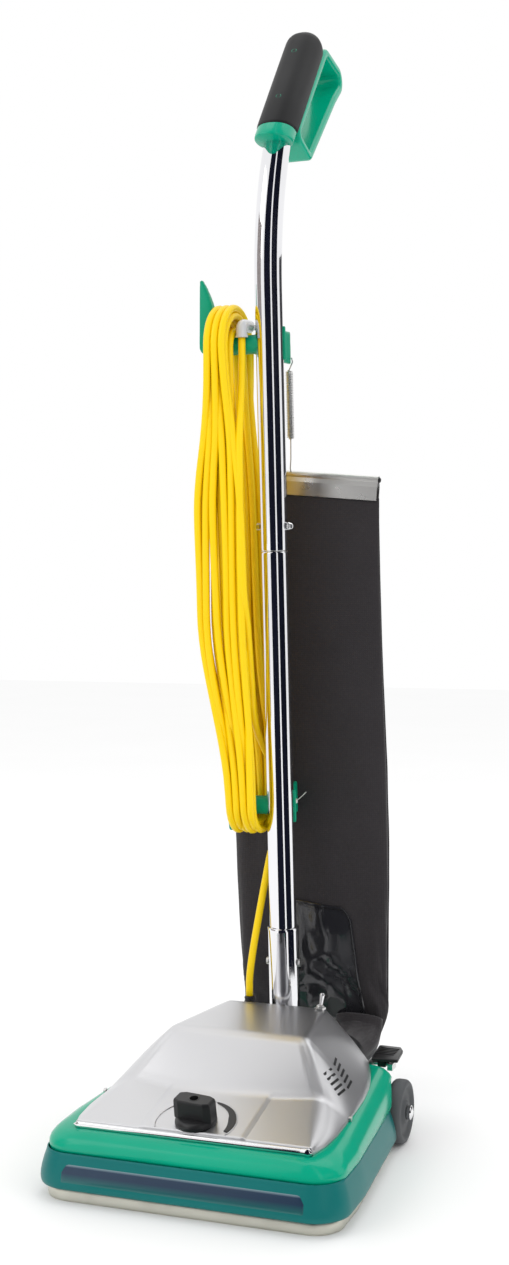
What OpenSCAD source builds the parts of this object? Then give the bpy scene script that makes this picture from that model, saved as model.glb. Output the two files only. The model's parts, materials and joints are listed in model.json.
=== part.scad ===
// Upright commercial vacuum cleaner with a floor base, a tubular handle,
// a hanging cloth dust bag and a supply cord wound on two side hooks.
// Millimetres. +Z up, the front of the machine faces -Y.
// The origin is on the floor, under the middle of the machine's box.

/* [Base] */
// Overall width over the bumper
base_w = 336; // [300:1:380]
// Depth of the sole plate and the bumper
base_d = 250; // [230:1:252]
// Depth of the housing, which reaches over the rear wheels
shell_d = 295; // [290:1:300]
// Narrowing of the base on each side, from the front to the rear
rear_taper = 17; // [0:1:24]
// Height of the joint between the bumper and the green housing
belt_line_z = 52; // [46:1:60]
// Height of the hood's seat at its front edge
seat_z = 69; // [64:1:76]
// Height of the flat top of the motor hood
hood_top_z = 146; // [135:1:160]
// Wall of the moulded housings
wall = 3; // [2:0.5:4]

/* [Wheels] */
// Diameter of each rear wheel
wheel_d = 72; // [60:1:84]
// Width of each rear wheel
wheel_w = 18; // [12:1:24]
// Distance of the rear axle behind the front edge
axle_y = 288; // [280:1:300]
// Diameter of each front wheel
front_wheel_d = 32; // [26:1:36]

/* [Handle] */
// Outer diameter of the chromed handle tube
tube_d = 31.8; // [28:0.1:36]
// Height of the handle pivot above the floor
pivot_z = 75; // [65:1:85]
// Distance of the handle pivot behind the front edge
pivot_y = 324; // [315:1:335]
// Forward lean of the parked handle, in degrees
lean = 4.1; // [0:0.1:8]
// Length of the handle from the pivot to the start of the bend
straight_l = 899; // [820:1:940]
// Radius of the bend below the grip
bend_r = 350; // [320:5:500]
// Width of the grip
grip_w = 44; // [34:1:46]
// slant of the grip's foot
grip_cut = 30; // [0:5:35]

/* [Bag] */
// Width of the dust bag at the clip
bag_w = 196; // [170:1:220]
// Distance of the bag's plane behind the handle tube
bag_back = 70; // [60:1:80]

/* [Cord] */
// Diameter of the supply cord
cord_d = 8.6; // [7:0.1:10]
// Width of the wound cord beside the tube
hank_w = 66; // [50:1:74]

/* [Hidden] */
$fn = 64;
half_w = base_w / 2;
bumper_t = 8;                  // thickness of the bumper band
skin_w = half_w - bumper_t;    // half width of the housing's skirt
seat_tilt = 3.55;              // the hood's seat rises to the rear
seat_y = 24;                   // front edge of the hood's seat
taper_y = 80;                  // the base narrows behind this line
plate_h = 12;                  // height of the sole plate's rim
tube_r = tube_d / 2;
tube_wall = 1.5;
wheel_r = wheel_d / 2;
wheel_x = 158;                 // outer face of each rear wheel
axle_r = 4;
run = 0.08;                    // radial running clearance
motor_y = 196;                 // motor axis
motor_z = 86;
motor_r = 42;
fan_r = 43;
shaft_r = 4;
brush_y = 46;                  // brush roll axis
brush_z = 25;
brush_r = 15;
belt_x = -112;                 // middle of the drive belt
shelf_slope = 12.3;            // slope of the hood's shelf under the knob, degrees
knob_at = [-2, 44, 81.5];      // middle of the height knob on the hood
switch_at = [56, 281, 136];    // foot of the switch's threaded neck
duct_x = 76;                   // exhaust duct and bag collar
duct_z = 88;
pulley_r = 7;
belt_t = 1.6;
hook_up = 838;                 // upper cord hook above the pivot
hook_low = 302;                // lower cord hook above the pivot
joint_h = 601;                 // joint between the two handle tubes
socket_top = 158;
bolt_h = 629;
bend_end = 43;                 // lean of the grip from the tube, degrees
front_y = -9.5;                // front face of the magnet bar
loop_corner = [77, 137, 14];   // rear corner of the grip's loop and its radius
grip_lean = bend_end - lean;
grip_y = pivot_y + bend_r * (1 - cos(bend_end)) * cos(lean)
    - (straight_l + bend_r * sin(bend_end)) * sin(lean);
back_y = grip_y + loop_corner[0] * cos(grip_lean) + loop_corner[1] * sin(grip_lean) + loop_corner[2];
depth_mid = (front_y + back_y) / 2;  // from the front edge back to the origin
fin_end = 71;                  // reach of the upper hook's rear fin
clip_h = 673;                  // middle of the bag clip above the pivot
clip_roll = 5.2;               // the clip hangs lower on its right, degrees
clip_x = 8;                    // middle of the bag clip
// The lead climbs from its gland behind the tube and turns into the winding.
lead_route = [[-38, 301, 139], [-38, 301, 149.4], [-38, 301.5, 172], [-35, 306, 205], [-31, 313, 240],
    [-26, 321, 280],
    [-20, 328, 320], [-12, 333, 350], [-9.4, 334, 376], [-12, 330, 402], [-19, 318, 428], [-25, 301, 455],
    [-27, 285, 482], [-27, 278, 520]];
gland_at = [-38, 301, 127];    // elbow of the cord gland behind the hood

// ---------- frames ----------

// The machine is drawn from its front edge, then moved so that the origin is in its middle.
module machine() {
    translate([0, -depth_mid, 0]) children();
}

// The hood's seat, a plane that rises to the rear.
module seat() {
    translate([0, seat_y, seat_z]) rotate([seat_tilt, 0, 0]) children();
}

// The handle stands on its pivot, with its tube along +Z.
module handle() {
    machine() translate([0, pivot_y, pivot_z]) rotate([lean, 0, 0]) children();
}

// The grip's frame: +Z runs along the grip and +Y behind it.
module grip() {
    handle() translate([0, bend_r * (1 - cos(bend_end)), straight_l + bend_r * sin(bend_end)])
        rotate([-bend_end, 0, 0]) children();
}

// A part beside the right half, repeated on the left.
module both_sides() {
    for (side = [-1, 1]) scale([1, 1, 1]) mirror([side < 0 ? 1 : 0, 0, 0]) children();
}

module rod_x(r, x0, x1) {
    translate([x0, 0, 0]) rotate([0, 90, 0]) cylinder(r = r, h = x1 - x0);
}

module ring_x(r, bore, x0, x1) {
    difference() {
        rod_x(r, x0, x1);
        rod_x(bore, x0 - 1, x1 + 1);
    }
}

// Half width of an outline at a distance from the front.
function half_at(half, y) = half - rear_taper * max(0, y - taper_y) / (shell_d - taper_y);

// Plan outline with round corners from y0 to y1, which narrows to the rear.
module footprint(half, y0, y1, r, rear_r = 1) {
    hull() for (side = [-1, 1]) {
        translate([side * (half - r), y0 + r]) circle(r = r);
        translate([side * (half - 1), taper_y]) circle(r = 1);
        translate([side * (half_at(half, y1) - rear_r), y1 - rear_r]) circle(r = rear_r);
    }
}

// ---------- floor base ----------

// Round shoulder between the bumper and the hood's seat.
module housing_top(grow) {
    hull() {
        translate([0, 0, belt_line_z - 2 + grow]) linear_extrude(2)
            footprint(skin_w + 2 + grow, 1 - grow, shell_d + grow, 36, 12);
        translate([0, 0, belt_line_z + 8]) linear_extrude(2)
            footprint(skin_w - 1 + grow, 4 - grow, shell_d + grow, 36, 12);
        seat() translate([0, -seat_y, -3 + grow]) linear_extrude(3)
            footprint(skin_w - 14 + grow, 11 - grow, shell_d - 1 + grow, 34, 10);
    }
}

module hood_opening() {
    hull() for (side = [-1, 1]) {
        translate([side * 118, 36]) circle(r = 2);
        translate([side * 124, 60]) circle(r = 2);
        translate([side * 124, 190]) circle(r = 2);
        translate([side * 98, shell_d - 8]) circle(r = 2);
    }
}

module base_housing() {
    color("mediumseagreen") machine() difference() {
        union() {
            difference() {
                union() {
                    translate([0, 0, plate_h + 0.5]) linear_extrude(belt_line_z - plate_h - 0.5)
                        footprint(skin_w, 4, shell_d, 30, 12);
                    housing_top(0);
                }
                translate([0, 0, plate_h - 1]) linear_extrude(belt_line_z - plate_h + 1)
                    footprint(skin_w - wall, 4 + wall, shell_d - wall + 0.6, 28, 10);
                housing_top(-wall);
            }
            both_sides() translate([132, base_d - 4, plate_h + 0.5]) cube([wall, shell_d - base_d + 2, 60]);
        }
        translate([0, 0, plate_h]) linear_extrude(100) hood_opening();
        both_sides() translate([0, axle_y, wheel_r]) rod_x(wheel_r + 3.5, 136, 170);
        both_sides() translate([0, axle_y, wheel_r]) rod_x(axle_r, 130, 140);
        translate([duct_x, base_d + 30, duct_z]) rotate([-90, 0, 0]) cylinder(r = 20, h = 30);
    }
}

module bumper() {
    color("teal") machine() translate([0, 0, plate_h + 1]) difference() {
        hull() {
            linear_extrude(1) footprint(half_w - 2, -6, base_d - 2, 36);
            translate([0, 0, 8]) linear_extrude(6) footprint(half_w, -8, base_d - 2, 38);
            translate([0, 0, belt_line_z - plate_h - 4.5]) linear_extrude(1)
                footprint(half_w - 5, -3, base_d - 2, 34);
        }
        translate([0, 0, -1]) linear_extrude(belt_line_z) footprint(skin_w + 0.2, 3.8, base_d + 2, 30);
        translate([-132, -9, 12]) cube([264, 6, 16]);
    }
}

module magnet_bar() {
    color("darkslategray") machine() translate([-131.5, front_y, plate_h + 13.5]) cube([263, 6.4, 15]);
}

module bottom_plate() {
    nozzle_x = 136;
    color("cornsilk") machine() difference() {
        linear_extrude(plate_h) footprint(skin_w, 0, base_d, 30);
        translate([0, 0, 2]) linear_extrude(plate_h) footprint(skin_w - 1.5, 1.5, base_d - 1.5, 28);
        for (i = [0 : 4]) translate([-nozzle_x + i * 55.2, 20, -1]) cube([51.2, 54, 4]);
        translate([-74, 84, -1]) cube([148, 74, 4]);
        plate_screw_places() translate([0, 0, -1]) cylinder(r = 3, h = 20);
    }
}

module plate_screw_places() {
    both_sides() for (y = [96, 226]) translate([half_at(144, y), y, 0]) children();
}

module plate_screws() {
    color("silver") machine() plate_screw_places() translate([0, 0, 0.4]) cylinder(r = 3, h = 9);
}

// Half of the hood's foot, as widths at distances from the front.
function foot_half() = [[130, 24], [136, 46], [139, 75], [139, 145], [137, 180], [134, 212], [127, 245],
    [114, 283], [110, 292.5]];

module hood_foot(grow, y_min) {
    half = [for (p = foot_half()) if (p[1] > y_min) [p[0] + grow, p[1]]];
    seat() translate([0, -seat_y, grow]) linear_extrude(4)
        polygon(concat(half, [for (i = [len(half) - 1 : -1 : 0]) [-half[i][0], half[i][1]]]));
}

// The hood's body: a low shelf at the front and a steep block behind it.
module hood_solid(grow) {
    hull() {
        hood_foot(grow, 0);
        for (side = [-1, 1]) {
            translate([side * 125, 29 - grow, 70.5]) sphere(r = 6 + grow, $fn = 24);
            translate([side * 107, 112, 89.5]) sphere(r = 6 + grow, $fn = 24);
        }
    }
    hull() {
        hood_foot(grow, 140);
        for (side = [-1, 1]) {
            translate([side * 107, 114, 89.5]) sphere(r = 6 + grow, $fn = 24);
            translate([side * 71, 171, hood_top_z - 8]) sphere(r = 8 + grow, $fn = 24);
            translate([side * 52, 284.5, hood_top_z - 8]) sphere(r = 8 + grow, $fn = 24);
        }
    }
}

// Five rows of paired slots, stacked down the hood's right flank.
module vent_slots() {
    for (i = [0 : 4]) translate([5 * i, -1.5 * i, -4.8 * i]) {
        translate([98, 168, 100]) rotate([0, 0, 13]) cube([12, 20, 40 - 3 * i], center = true);
        translate([98, 139, 100]) rotate([0, 0, 3]) cube([12, 20, 3], center = true);
    }
}

module motor_hood() {
    color("silver") machine() difference() {
        hood_solid(0);
        hood_solid(-1.6);
        seat() translate([-200, -50, -20]) cube([400, 400, 20]);
        vent_slots();
        translate(knob_at) rotate([shelf_slope, 0, 0]) translate([0, 0, -20]) cylinder(r = 7, h = 60);
        translate([switch_at[0], switch_at[1], 110]) cylinder(r = 5.4, h = 60);
        translate([gland_at[0], 260, gland_at[2]]) rotate([-90, 0, 0]) cylinder(r = 8.2, h = 60);
        translate([duct_x, 270, duct_z]) rotate([-90, 0, 0]) cylinder(r = 20.1, h = 40);
    }
}

module hood_trim() {
    color("gainsboro") machine() translate([-131, seat_y - 4.6, seat_z + 0.6]) cube([262, 3.6, 7]);
}

module hood_screws() {
    color("silver") machine() both_sides() seat() translate([139.1, 96, 3.4]) rotate([0, 90, 0])
        cylinder(r = 2.8, h = 2.5);
}

module knob_axis() {
    machine() translate(knob_at) rotate([shelf_slope, 0, 0]) children();
}

module height_dial() {
    color("black") knob_axis() translate([0, 0, 0.2]) linear_extrude(1.6) difference() {
        circle(r = 40);
        translate([-8, 3]) circle(r = 36);
        circle(r = 22.5);
        translate([-60, -76]) square([120, 60]);
        translate([-60, 14]) square([120, 60]);
    }
}

module height_knob() {
    color("black") knob_axis() {
        translate([0, 0, 1.2]) cylinder(r = 21, h = 7);
        translate([-20.5, -8, 8.1]) cube([41, 16, 16]);
        translate([0, 0, -14]) cylinder(r = 5, h = 16);
    }
}

// Scroll cam under the knob that pushes the front carriage down.
module height_cam() {
    color("dimgray") knob_axis() translate([0, 0, -20]) difference() {
        cylinder(r = 12, h = 8);
        translate([0, 0, 6]) cylinder(r = 5, h = 3);
    }
}

// ---------- drive inside the base ----------

module motor_axis() {
    machine() translate([0, motor_y, motor_z]) children();
}

module motor_housing() {
    color("gray") motor_axis() difference() {
        rod_x(motor_r, -46, 44);
        rod_x(motor_r - 3, -43, 45);
        rod_x(6, -50, -40);
    }
}

module motor_end_cap() {
    color("darkgray") motor_axis() difference() {
        rod_x(motor_r - 6, -58, -46);
        rod_x(8.2, -60, -40);
    }
}

module motor_bearings() {
    color("silver") motor_axis() {
        ring_x(8.2, shaft_r + run, -57, -47);
        ring_x(8.2, shaft_r + run, 45, 51);
    }
}

module fan_housing() {
    color("dimgray") motor_axis() difference() {
        union() {
            rod_x(fan_r, 44, 84);
            translate([duct_x - 20, 20, -18]) cube([40, 36, 34]);
        }
        rod_x(fan_r - 3, 52, 81);
        rod_x(8.2, 40, 53);
        translate([duct_x, 20, 2]) rotate([-90, 0, 0]) cylinder(r = 17, h = 60);
        translate([84, 0, 0]) rod_x(16, -5, 5);
    }
}

module fan_impeller() {
    color("white") motor_axis() {
        ring_x(36, shaft_r, 62, 65);
        for (i = [0 : 7]) rotate([45 * i, 0, 0]) translate([64.9, 10, -1]) cube([14, 25, 2]);
    }
}

module motor_shaft() {
    color("silver") motor_axis() {
        rod_x(shaft_r, belt_x - 12, 68);
        rod_x(28, -34, 30);
        rod_x(pulley_r, belt_x - 10, belt_x + 10);
    }
}

module belt_outline(grow) {
    hull() {
        translate([motor_y, motor_z]) circle(r = pulley_r + grow);
        translate([brush_y, brush_z]) circle(r = brush_r + grow);
    }
}

module drive_belt() {
    color("black") machine() translate([belt_x - 7, 0, 0]) rotate([90, 0, 90]) linear_extrude(14) difference() {
        belt_outline(0.35 + belt_t);
        belt_outline(0.35);
    }
}

module brush_axis() {
    machine() translate([0, brush_y, brush_z]) children();
}

module brush_roll() {
    color("burlywood") brush_axis() {
        rod_x(brush_r, -130, 130);
        rod_x(5, -138, 138);
    }
}

module brush_bristles() {
    color("black") brush_axis() for (turn = [0, 180], i = [0 : 18]) {
        x = -92 + i * 11.6;
        rotate([turn + i * 14, 0, 0]) translate([x, 0, brush_r - 0.2]) cylinder(r = 2.2, h = 7);
    }
}

module brush_end_blocks() {
    color("dimgray") brush_axis() both_sides() difference() {
        translate([132, -15, -13]) cube([16, 30, 30]);
        rod_x(5 + run, 120, 150);
    }
}

module exhaust_duct() {
    color("dimgray") machine() translate([duct_x, motor_y + 56, duct_z]) rotate([-90, 0, 0]) difference() {
        cylinder(r = 20, h = 56);
        translate([0, 0, -1]) cylinder(r = 17, h = 60);
    }
}

module bag_collar() {
    color("black") machine() translate([duct_x, motor_y + 100, duct_z]) rotate([-90, 0, 0]) difference() {
        cylinder(r = 25, h = 12);
        translate([0, 0, -1]) cylinder(r = 20, h = 20);
    }
}

// ---------- wheels ----------

module rear_axle() {
    color("silver") machine() translate([0, axle_y, wheel_r]) rod_x(axle_r, -wheel_x - 1, wheel_x + 1);
}

module rear_wheel(side) {
    x0 = side > 0 ? wheel_x - wheel_w : -wheel_x;
    color("gray") machine() translate([0, axle_y, wheel_r]) difference() {
        rod_x(wheel_r, x0, x0 + wheel_w);
        rod_x(axle_r + run, x0 - 1, x0 + wheel_w + 1);
    }
}

module rear_wheel_left() { rear_wheel(-1); }

module rear_wheel_right() { rear_wheel(1); }

module axle_caps() {
    color("silver") machine() translate([0, axle_y, wheel_r]) both_sides() difference() {
        rod_x(8, wheel_x + 0.4, wheel_x + 4);
        rod_x(axle_r, wheel_x, wheel_x + 1);
    }
}

module front_carriage() {
    color("silver") machine() {
        translate([-66, 140, 27]) cube([132, 8, 4]);
        both_sides() for (x = [30.5, 60.6]) translate([x, 100, 14]) difference() {
            cube([2.5, 46, 17]);
            translate([0, 12, 10]) rod_x(3, -5, 10);
        }
        both_sides() translate([30.5, 129, 29]) cube([32.6, 17, 2]);
    }
}

module front_axle() {
    color("silver") machine() translate([0, 112, 24]) both_sides() rod_x(3, 28, 66);
}

module front_wheel(side) {
    x0 = side > 0 ? 36 : -58;
    color("dimgray") machine() translate([0, 112, 24]) difference() {
        rod_x(front_wheel_d / 2, x0, x0 + 22);
        rod_x(3 + run, x0 - 1, x0 + 23);
    }
}

module front_wheel_left() { front_wheel(-1); }

module front_wheel_right() { front_wheel(1); }

// ---------- pivot, pedal, switch and gland at the rear ----------

module pivot_bracket() {
    color("dimgray") machine() both_sides() difference() {
        hull() {
            translate([29, 295, 58]) cube([6, 4, 34]);
            translate([29, pivot_y, pivot_z]) rod_x(13, 0, 6);
        }
        translate([0, pivot_y, pivot_z]) rod_x(5, 20, 40);
    }
}

module pivot_pin() {
    color("silver") machine() translate([0, pivot_y, pivot_z]) rod_x(5, -40, 40);
}

module release_pedal() {
    color("black") machine() difference() {
        union() {
            translate([106, 293, 88]) cube([38, 57, 4]);
            translate([118, 303, 78]) cube([10, 12, 11]);
        }
        translate([0, 309, 83]) rod_x(3 + run, 100, 150);
    }
}

module pedal_pin() {
    color("silver") machine() {
        translate([0, 309, 83]) rod_x(3, 108, 138);
        for (x = [108, 132]) translate([x, 295, 79]) cube([6, 17, 7]);
    }
}

module switch_body() {
    color("black") machine() translate([switch_at[0] - 13, switch_at[1] - 12, 118]) cube([19, 18, 18]);
}

module switch_bushing() {
    color("silver") machine() translate(switch_at) difference() {
        union() {
            cylinder(r = 4.8, h = 15);
            translate([0, 0, 10.1]) cylinder(r = 6.5, h = 2.5, $fn = 6);
        }
        translate([0, 0, 3]) cylinder(r = 3.4, h = 20);
    }
}

module toggle_lever() {
    color("silver") machine() translate([switch_at[0], switch_at[1], switch_at[2] + 9]) {
        rotate([0, 8, 0]) cylinder(r1 = 1.5, r2 = 2.8, h = 18);
        rotate([0, 8, 0]) translate([0, 0, 18]) sphere(r = 2.8);
        rotate([90, 0, 0]) cylinder(r = 1.9, h = 5, center = true);
    }
}

module strain_relief() {
    color("black") machine() translate(gland_at) {
        translate([0, -22, 0]) rotate([-90, 0, 0]) cylinder(r = 8, h = 22);
        sphere(r = 8);
        cylinder(r = 7, h = 12);
        translate([0, 0, 12]) cylinder(r = 6, h = 10);
    }
}

// ---------- handle ----------

module handle_socket() {
    color("silver") handle() difference() {
        union() {
            translate([0, 0, 8]) cylinder(r = 18.2, h = socket_top - 8);
            rod_x(13, -27, 27);
        }
        translate([0, 0, 30]) cylinder(r = tube_r, h = socket_top);
        rod_x(5 + run, -40, 40);
    }
}

module socket_screws() {
    color("silver") handle() translate([0, 0, 115]) both_sides() rod_x(4.5, 18.2, 21);
}

module lower_tube() {
    color("silver") handle() difference() {
        union() {
            translate([0, 0, 30]) cylinder(r = tube_r, h = joint_h - 30);
            translate([0, 0, 30]) cylinder(r = tube_r - tube_wall, h = joint_h + 10);
        }
        translate([0, 0, 29]) cylinder(r = tube_r - 2 * tube_wall, h = joint_h + 20);
        translate([0, 0, bolt_h]) rod_x(2.5, -30, 30);
    }
}

module bend(r) {
    translate([0, bend_r, 0]) rotate([90, 0, -90]) rotate_extrude(angle = bend_end - 7)
        translate([bend_r, 0]) circle(r = r);
}

module upper_tube() {
    color("silver") handle() {
        difference() {
            translate([0, 0, joint_h]) cylinder(r = tube_r, h = straight_l - joint_h);
            translate([0, 0, joint_h - 1]) cylinder(r = tube_r - tube_wall, h = straight_l - joint_h + 2);
            translate([0, 0, bolt_h]) rod_x(2.5, -30, 30);
        }
        translate([0, 0, straight_l]) difference() {
            bend(tube_r);
            bend(tube_r - tube_wall);
        }
    }
}

module tube_bolt() {
    color("silver") handle() translate([0, 0, bolt_h]) {
        rod_x(2.5, -tube_r - 2, tube_r + 5);
        rod_x(4.5, -tube_r - 4, -tube_r - 0.05);
    }
}

module tube_nut() {
    color("silver") handle() translate([0, 0, bolt_h]) difference() {
        union() {
            rod_x(4.6, tube_r + 0.05, tube_r + 4);
            translate([tube_r + 4, 0, 0]) sphere(r = 4);
        }
        rod_x(2.5, 0, tube_r + 5);
    }
}

// Saddle on the tube, a side arm with a horn, and a fin behind the tube.
module cord_hook(height, reach, horn, fin) {
    horn_r = 10;
    handle() translate([0, 0, height]) difference() {
        union() {
            difference() {
                translate([0, 0, -20]) cylinder(r = tube_r + 3, h = 40);
                translate([-40, -40, -21]) cube([80, 42, 42]);
            }
            rod_x(12, -reach + horn_r, 0);
            hull() {
                translate([-reach + horn_r, 0, 0]) rotate([90, 0, 0])
                    cylinder(r = horn_r, h = 22, center = true, $fn = 32);
                translate([-reach + 2.5, 0, horn]) rotate([90, 0, 0])
                    cylinder(r = 2.5, h = 6, center = true, $fn = 32);
            }
            translate([-3, 0, -20]) cube([6, fin, 40]);
        }
        translate([0, 0, -40]) cylinder(r = tube_r, h = 80);
        translate([0, fin - 6, -12]) rod_x(2.5, -10, 10);
        children();
    }
}

module upper_cord_hook() { color("seagreen") cord_hook(hook_up, 83, 78, fin_end); }

module lower_cord_hook() {
    color("seagreen") cord_hook(hook_low, 64, -32, 60) tie_band();
}

// Flat band through the lower hook's fin and round the lead.
module tie_band() {
    translate([0, 0, -2]) linear_extrude(4) difference() {
        translate([-16, 24]) square([21.5, 15]);
        translate([-14.8, 25.2]) square([19.1, 12.6]);
    }
}

module cable_tie() {
    color("white") handle() translate([0, 0, hook_low]) {
        tie_band();
        translate([5.5, 28, -2.5]) cube([5, 6, 5]);
        translate([10.4, 30, -1.5]) rotate([0, -50, 0]) cube([14, 2, 1.2]);
    }
}

// ---------- grip ----------

module loop_outer() {
    hull() {
        translate([10, -62]) circle(r = 14);
        translate([52, -42]) circle(r = 11);
        translate([66, 90]) circle(r = 12);
        translate([loop_corner[0], loop_corner[1]]) circle(r = loop_corner[2]);
        translate([12, 92]) circle(r = 16);
    }
}

module loop_inner() {
    hull() {
        translate([26, -28]) circle(r = 5);
        translate([47, -34]) circle(r = 7);
        translate([62, 92]) circle(r = 8);
        translate([70, 128]) circle(r = 8);
        translate([28, 84]) circle(r = 8);
    }
}

module grip_core(r, z0, z1) {
    translate([0, 0, z0]) cylinder(r = r, h = z1 - z0);
}

// The grip's foot and its pad end on slanted planes, lower in front.
module below_cut(height) {
    translate([0, 0, height]) rotate([grip_cut, 0, 0]) translate([-60, -60, -80]) cube([120, 120, 80]);
}

module grip_pad_zone() {
    difference() {
        union() {
            grip_core(grip_w / 2, -92, 84);
            translate([0, 0, 84]) sphere(r = grip_w / 2);
        }
        below_cut(-74);
        grip_core(grip_w / 2 - 3, -95, 84);
        translate([0, 0, 84]) sphere(r = grip_w / 2 - 3);
        translate([-50, 9, -100]) cube([100, 50, 250]);
    }
}

module grip_body() {
    color("mediumseagreen") difference() {
        grip() difference() {
            union() {
                grip_core(grip_w / 2, -108, 84);
                translate([0, 0, 84]) sphere(r = grip_w / 2);
                translate([-grip_w / 2, 0, 0]) rotate([90, 0, 90]) linear_extrude(grip_w) difference() {
                    loop_outer();
                    loop_inner();
                    translate([-100, -200]) square([104, 400]);
                }
            }
            below_cut(-93);
            grip_pad_zone();
            for (z = [-38, 52]) translate([0, -23, z]) rotate([-90, 0, 0]) cylinder(r = 3, h = 12);
        }
        handle() translate([0, 0, straight_l]) bend(tube_r);
    }
}

module grip_pad() {
    color("black") difference() {
        grip() difference() {
            grip_pad_zone();
            for (z = [-38, 52]) translate([0, -23, z]) rotate([-90, 0, 0]) cylinder(r = 3, h = 12);
        }
        handle() translate([0, 0, straight_l]) bend(tube_r);
    }
}

module grip_screws() {
    color("darkgreen") grip() for (z = [-38, 52]) translate([0, -21.2, z]) rotate([-90, 0, 0])
        cylinder(r = 3, h = 6);
}

// ---------- dust bag ----------

module bag_spring() {
    color("silver") handle() {
        translate([1, fin_end - 6, clip_h + 57]) cylinder(r = 4.6, h = 82);
        translate([1, fin_end - 5, clip_h + 20]) cylinder(r = 1, h = 38);
        translate([4.5, fin_end - 6, clip_h + 138]) cylinder(r = 1, h = 15);
        translate([0, fin_end - 6, hook_up - 12]) rod_x(1, -4, 5.5);
    }
}

// Frame of the clip, which hangs from the spring's wire at x = 1.
module clip_frame() {
    handle() translate([1, bag_back, clip_h]) rotate([0, clip_roll, 0]) translate([clip_x - 1, 0, 0]) children();
}

module bag_clip() {
    color("silver") clip_frame() translate([-bag_w / 2, 0, 0]) {
        translate([0, -5, -8]) cube([bag_w, 10, 24]);
        translate([0, 0, 16]) rod_x(4, 0, bag_w);
    }
}

module bag() {
    color("dimgray") hull() {
        clip_frame() translate([-bag_w / 2 + 2, -3, -10]) cube([bag_w - 4, 6, 2]);
        handle() for (x = [-62, 87]) translate([x, bag_back + 10, 60]) cylinder(r = 16, h = 290, $fn = 32);
    }
}

module bag_neck() {
    color("dimgray") machine() hull() {
        translate([duct_x, motor_y + 112.5, duct_z]) rotate([-90, 0, 0]) cylinder(r = 21, h = 2);
        translate([58, pivot_y + 52, 96]) cube([36, 6, 26]);
    }
}

// ---------- supply cord ----------

function sub3(a, b) = [a[0] - b[0], a[1] - b[1], a[2] - b[2]];
function unit3(a) = a / norm(a);

// Catmull-Rom point between p[1] and p[2].
function spline_at(p, t) = 0.5 * ((2 * p[1]) + (p[2] - p[0]) * t + (2 * p[0] - 5 * p[1] + 4 * p[2] - p[3]) * t * t
    + (3 * p[1] - p[0] - 3 * p[2] + p[3]) * t * t * t);
function smooth_route(p, n) = [for (i = [1 : len(p) - 3], j = [0 : n - 1])
    spline_at([p[i - 1], p[i], p[i + 1], p[i + 2]], j / n), p[len(p) - 2]];

// Tube of round section along a route that never runs straight along Y.
module swept_tube(route, r, sides) {
    n = len(route);
    along = [for (i = [0 : n - 1]) unit3(sub3(route[min(i + 1, n - 1)], route[max(i - 1, 0)]))];
    across = [for (a = along) unit3(cross(a, [0, 1, 0]))];
    points = [for (i = [0 : n - 1], k = [0 : sides - 1])
        route[i] + r * (cos(360 * k / sides) * across[i] + sin(360 * k / sides) * cross(along[i], across[i]))];
    walls = [for (i = [0 : n - 2], k = [0 : sides - 1])
        [i * sides + k, (i + 1) * sides + k, (i + 1) * sides + (k + 1) % sides, i * sides + (k + 1) % sides]];
    polyhedron(points, concat(walls, [[for (k = [0 : sides - 1]) k]],
        [[for (k = [0 : sides - 1]) n * sides - 1 - k]]), convexity = 10);
}

module cord_lead() {
    color("gold") machine() swept_tube(smooth_route(lead_route, 3), cord_d / 2, 10);
}

module hank_outline(grow) {
    hull() {
        translate([0, hook_up - 4]) circle(r = 27 + grow);
        translate([0, hook_low + 4]) circle(r = 27 + grow);
    }
}

// The winding hangs over both side arms and clears their horns and the plug.
module cord_hank() {
    color("gold") handle() difference() {
        translate([-20 - hank_w, 0, 0]) rotate([90, 0, 90]) linear_extrude(hank_w) difference() {
            hank_outline(19);
            hank_outline(-10.5);
        }
        translate([-100, -60, hook_up - 14]) cube([37, 120, 100]);
        translate([-100, -60, hook_low - 100]) cube([55, 120, 124]);
        translate([-37, -60, hook_up - 6]) cube([50, 120, 100]);
        translate([-34, 0, hook_low - 100]) cube([50, 60, 320]);
    }
}

module plug_body() {
    color("whitesmoke") handle() translate([-28.4, -14.5, hook_up + 20.2]) {
        translate([0, 0, -10.4]) cylinder(r = 7, h = 10.4);
        sphere(r = 8);
        rotate([-90, 0, 0]) cylinder(r = 8, h = 26);
    }
}

module plug_blades() {
    color("silver") handle() translate([-28.4, 11.5, hook_up + 20.2])
        for (x = [-6.5, 5]) translate([x, 0, -3]) cube([1.5, 15, 6]);
}

base_housing();
bumper();
magnet_bar();
bottom_plate();
plate_screws();
motor_hood();
hood_trim();
hood_screws();
height_dial();
height_knob();
height_cam();
motor_housing();
motor_end_cap();
fan_housing();
motor_shaft();
fan_impeller();
motor_bearings();
drive_belt();
brush_roll();
brush_bristles();
brush_end_blocks();
exhaust_duct();
bag_collar();
rear_axle();
rear_wheel_left();
rear_wheel_right();
axle_caps();
front_carriage();
front_axle();
front_wheel_left();
front_wheel_right();
pivot_bracket();
pivot_pin();
release_pedal();
pedal_pin();
switch_body();
switch_bushing();
toggle_lever();
strain_relief();
handle_socket();
socket_screws();
lower_tube();
upper_tube();
tube_bolt();
tube_nut();
upper_cord_hook();
lower_cord_hook();
cable_tie();
grip_body();
grip_pad();
grip_screws();
bag_spring();
bag_clip();
bag();
bag_neck();
cord_hank();
cord_lead();
plug_body();
plug_blades();
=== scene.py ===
import json
import math
import random

import bmesh
import bpy
from mathutils import Matrix, Vector, noise
from mathutils.bvhtree import BVHTree


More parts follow.
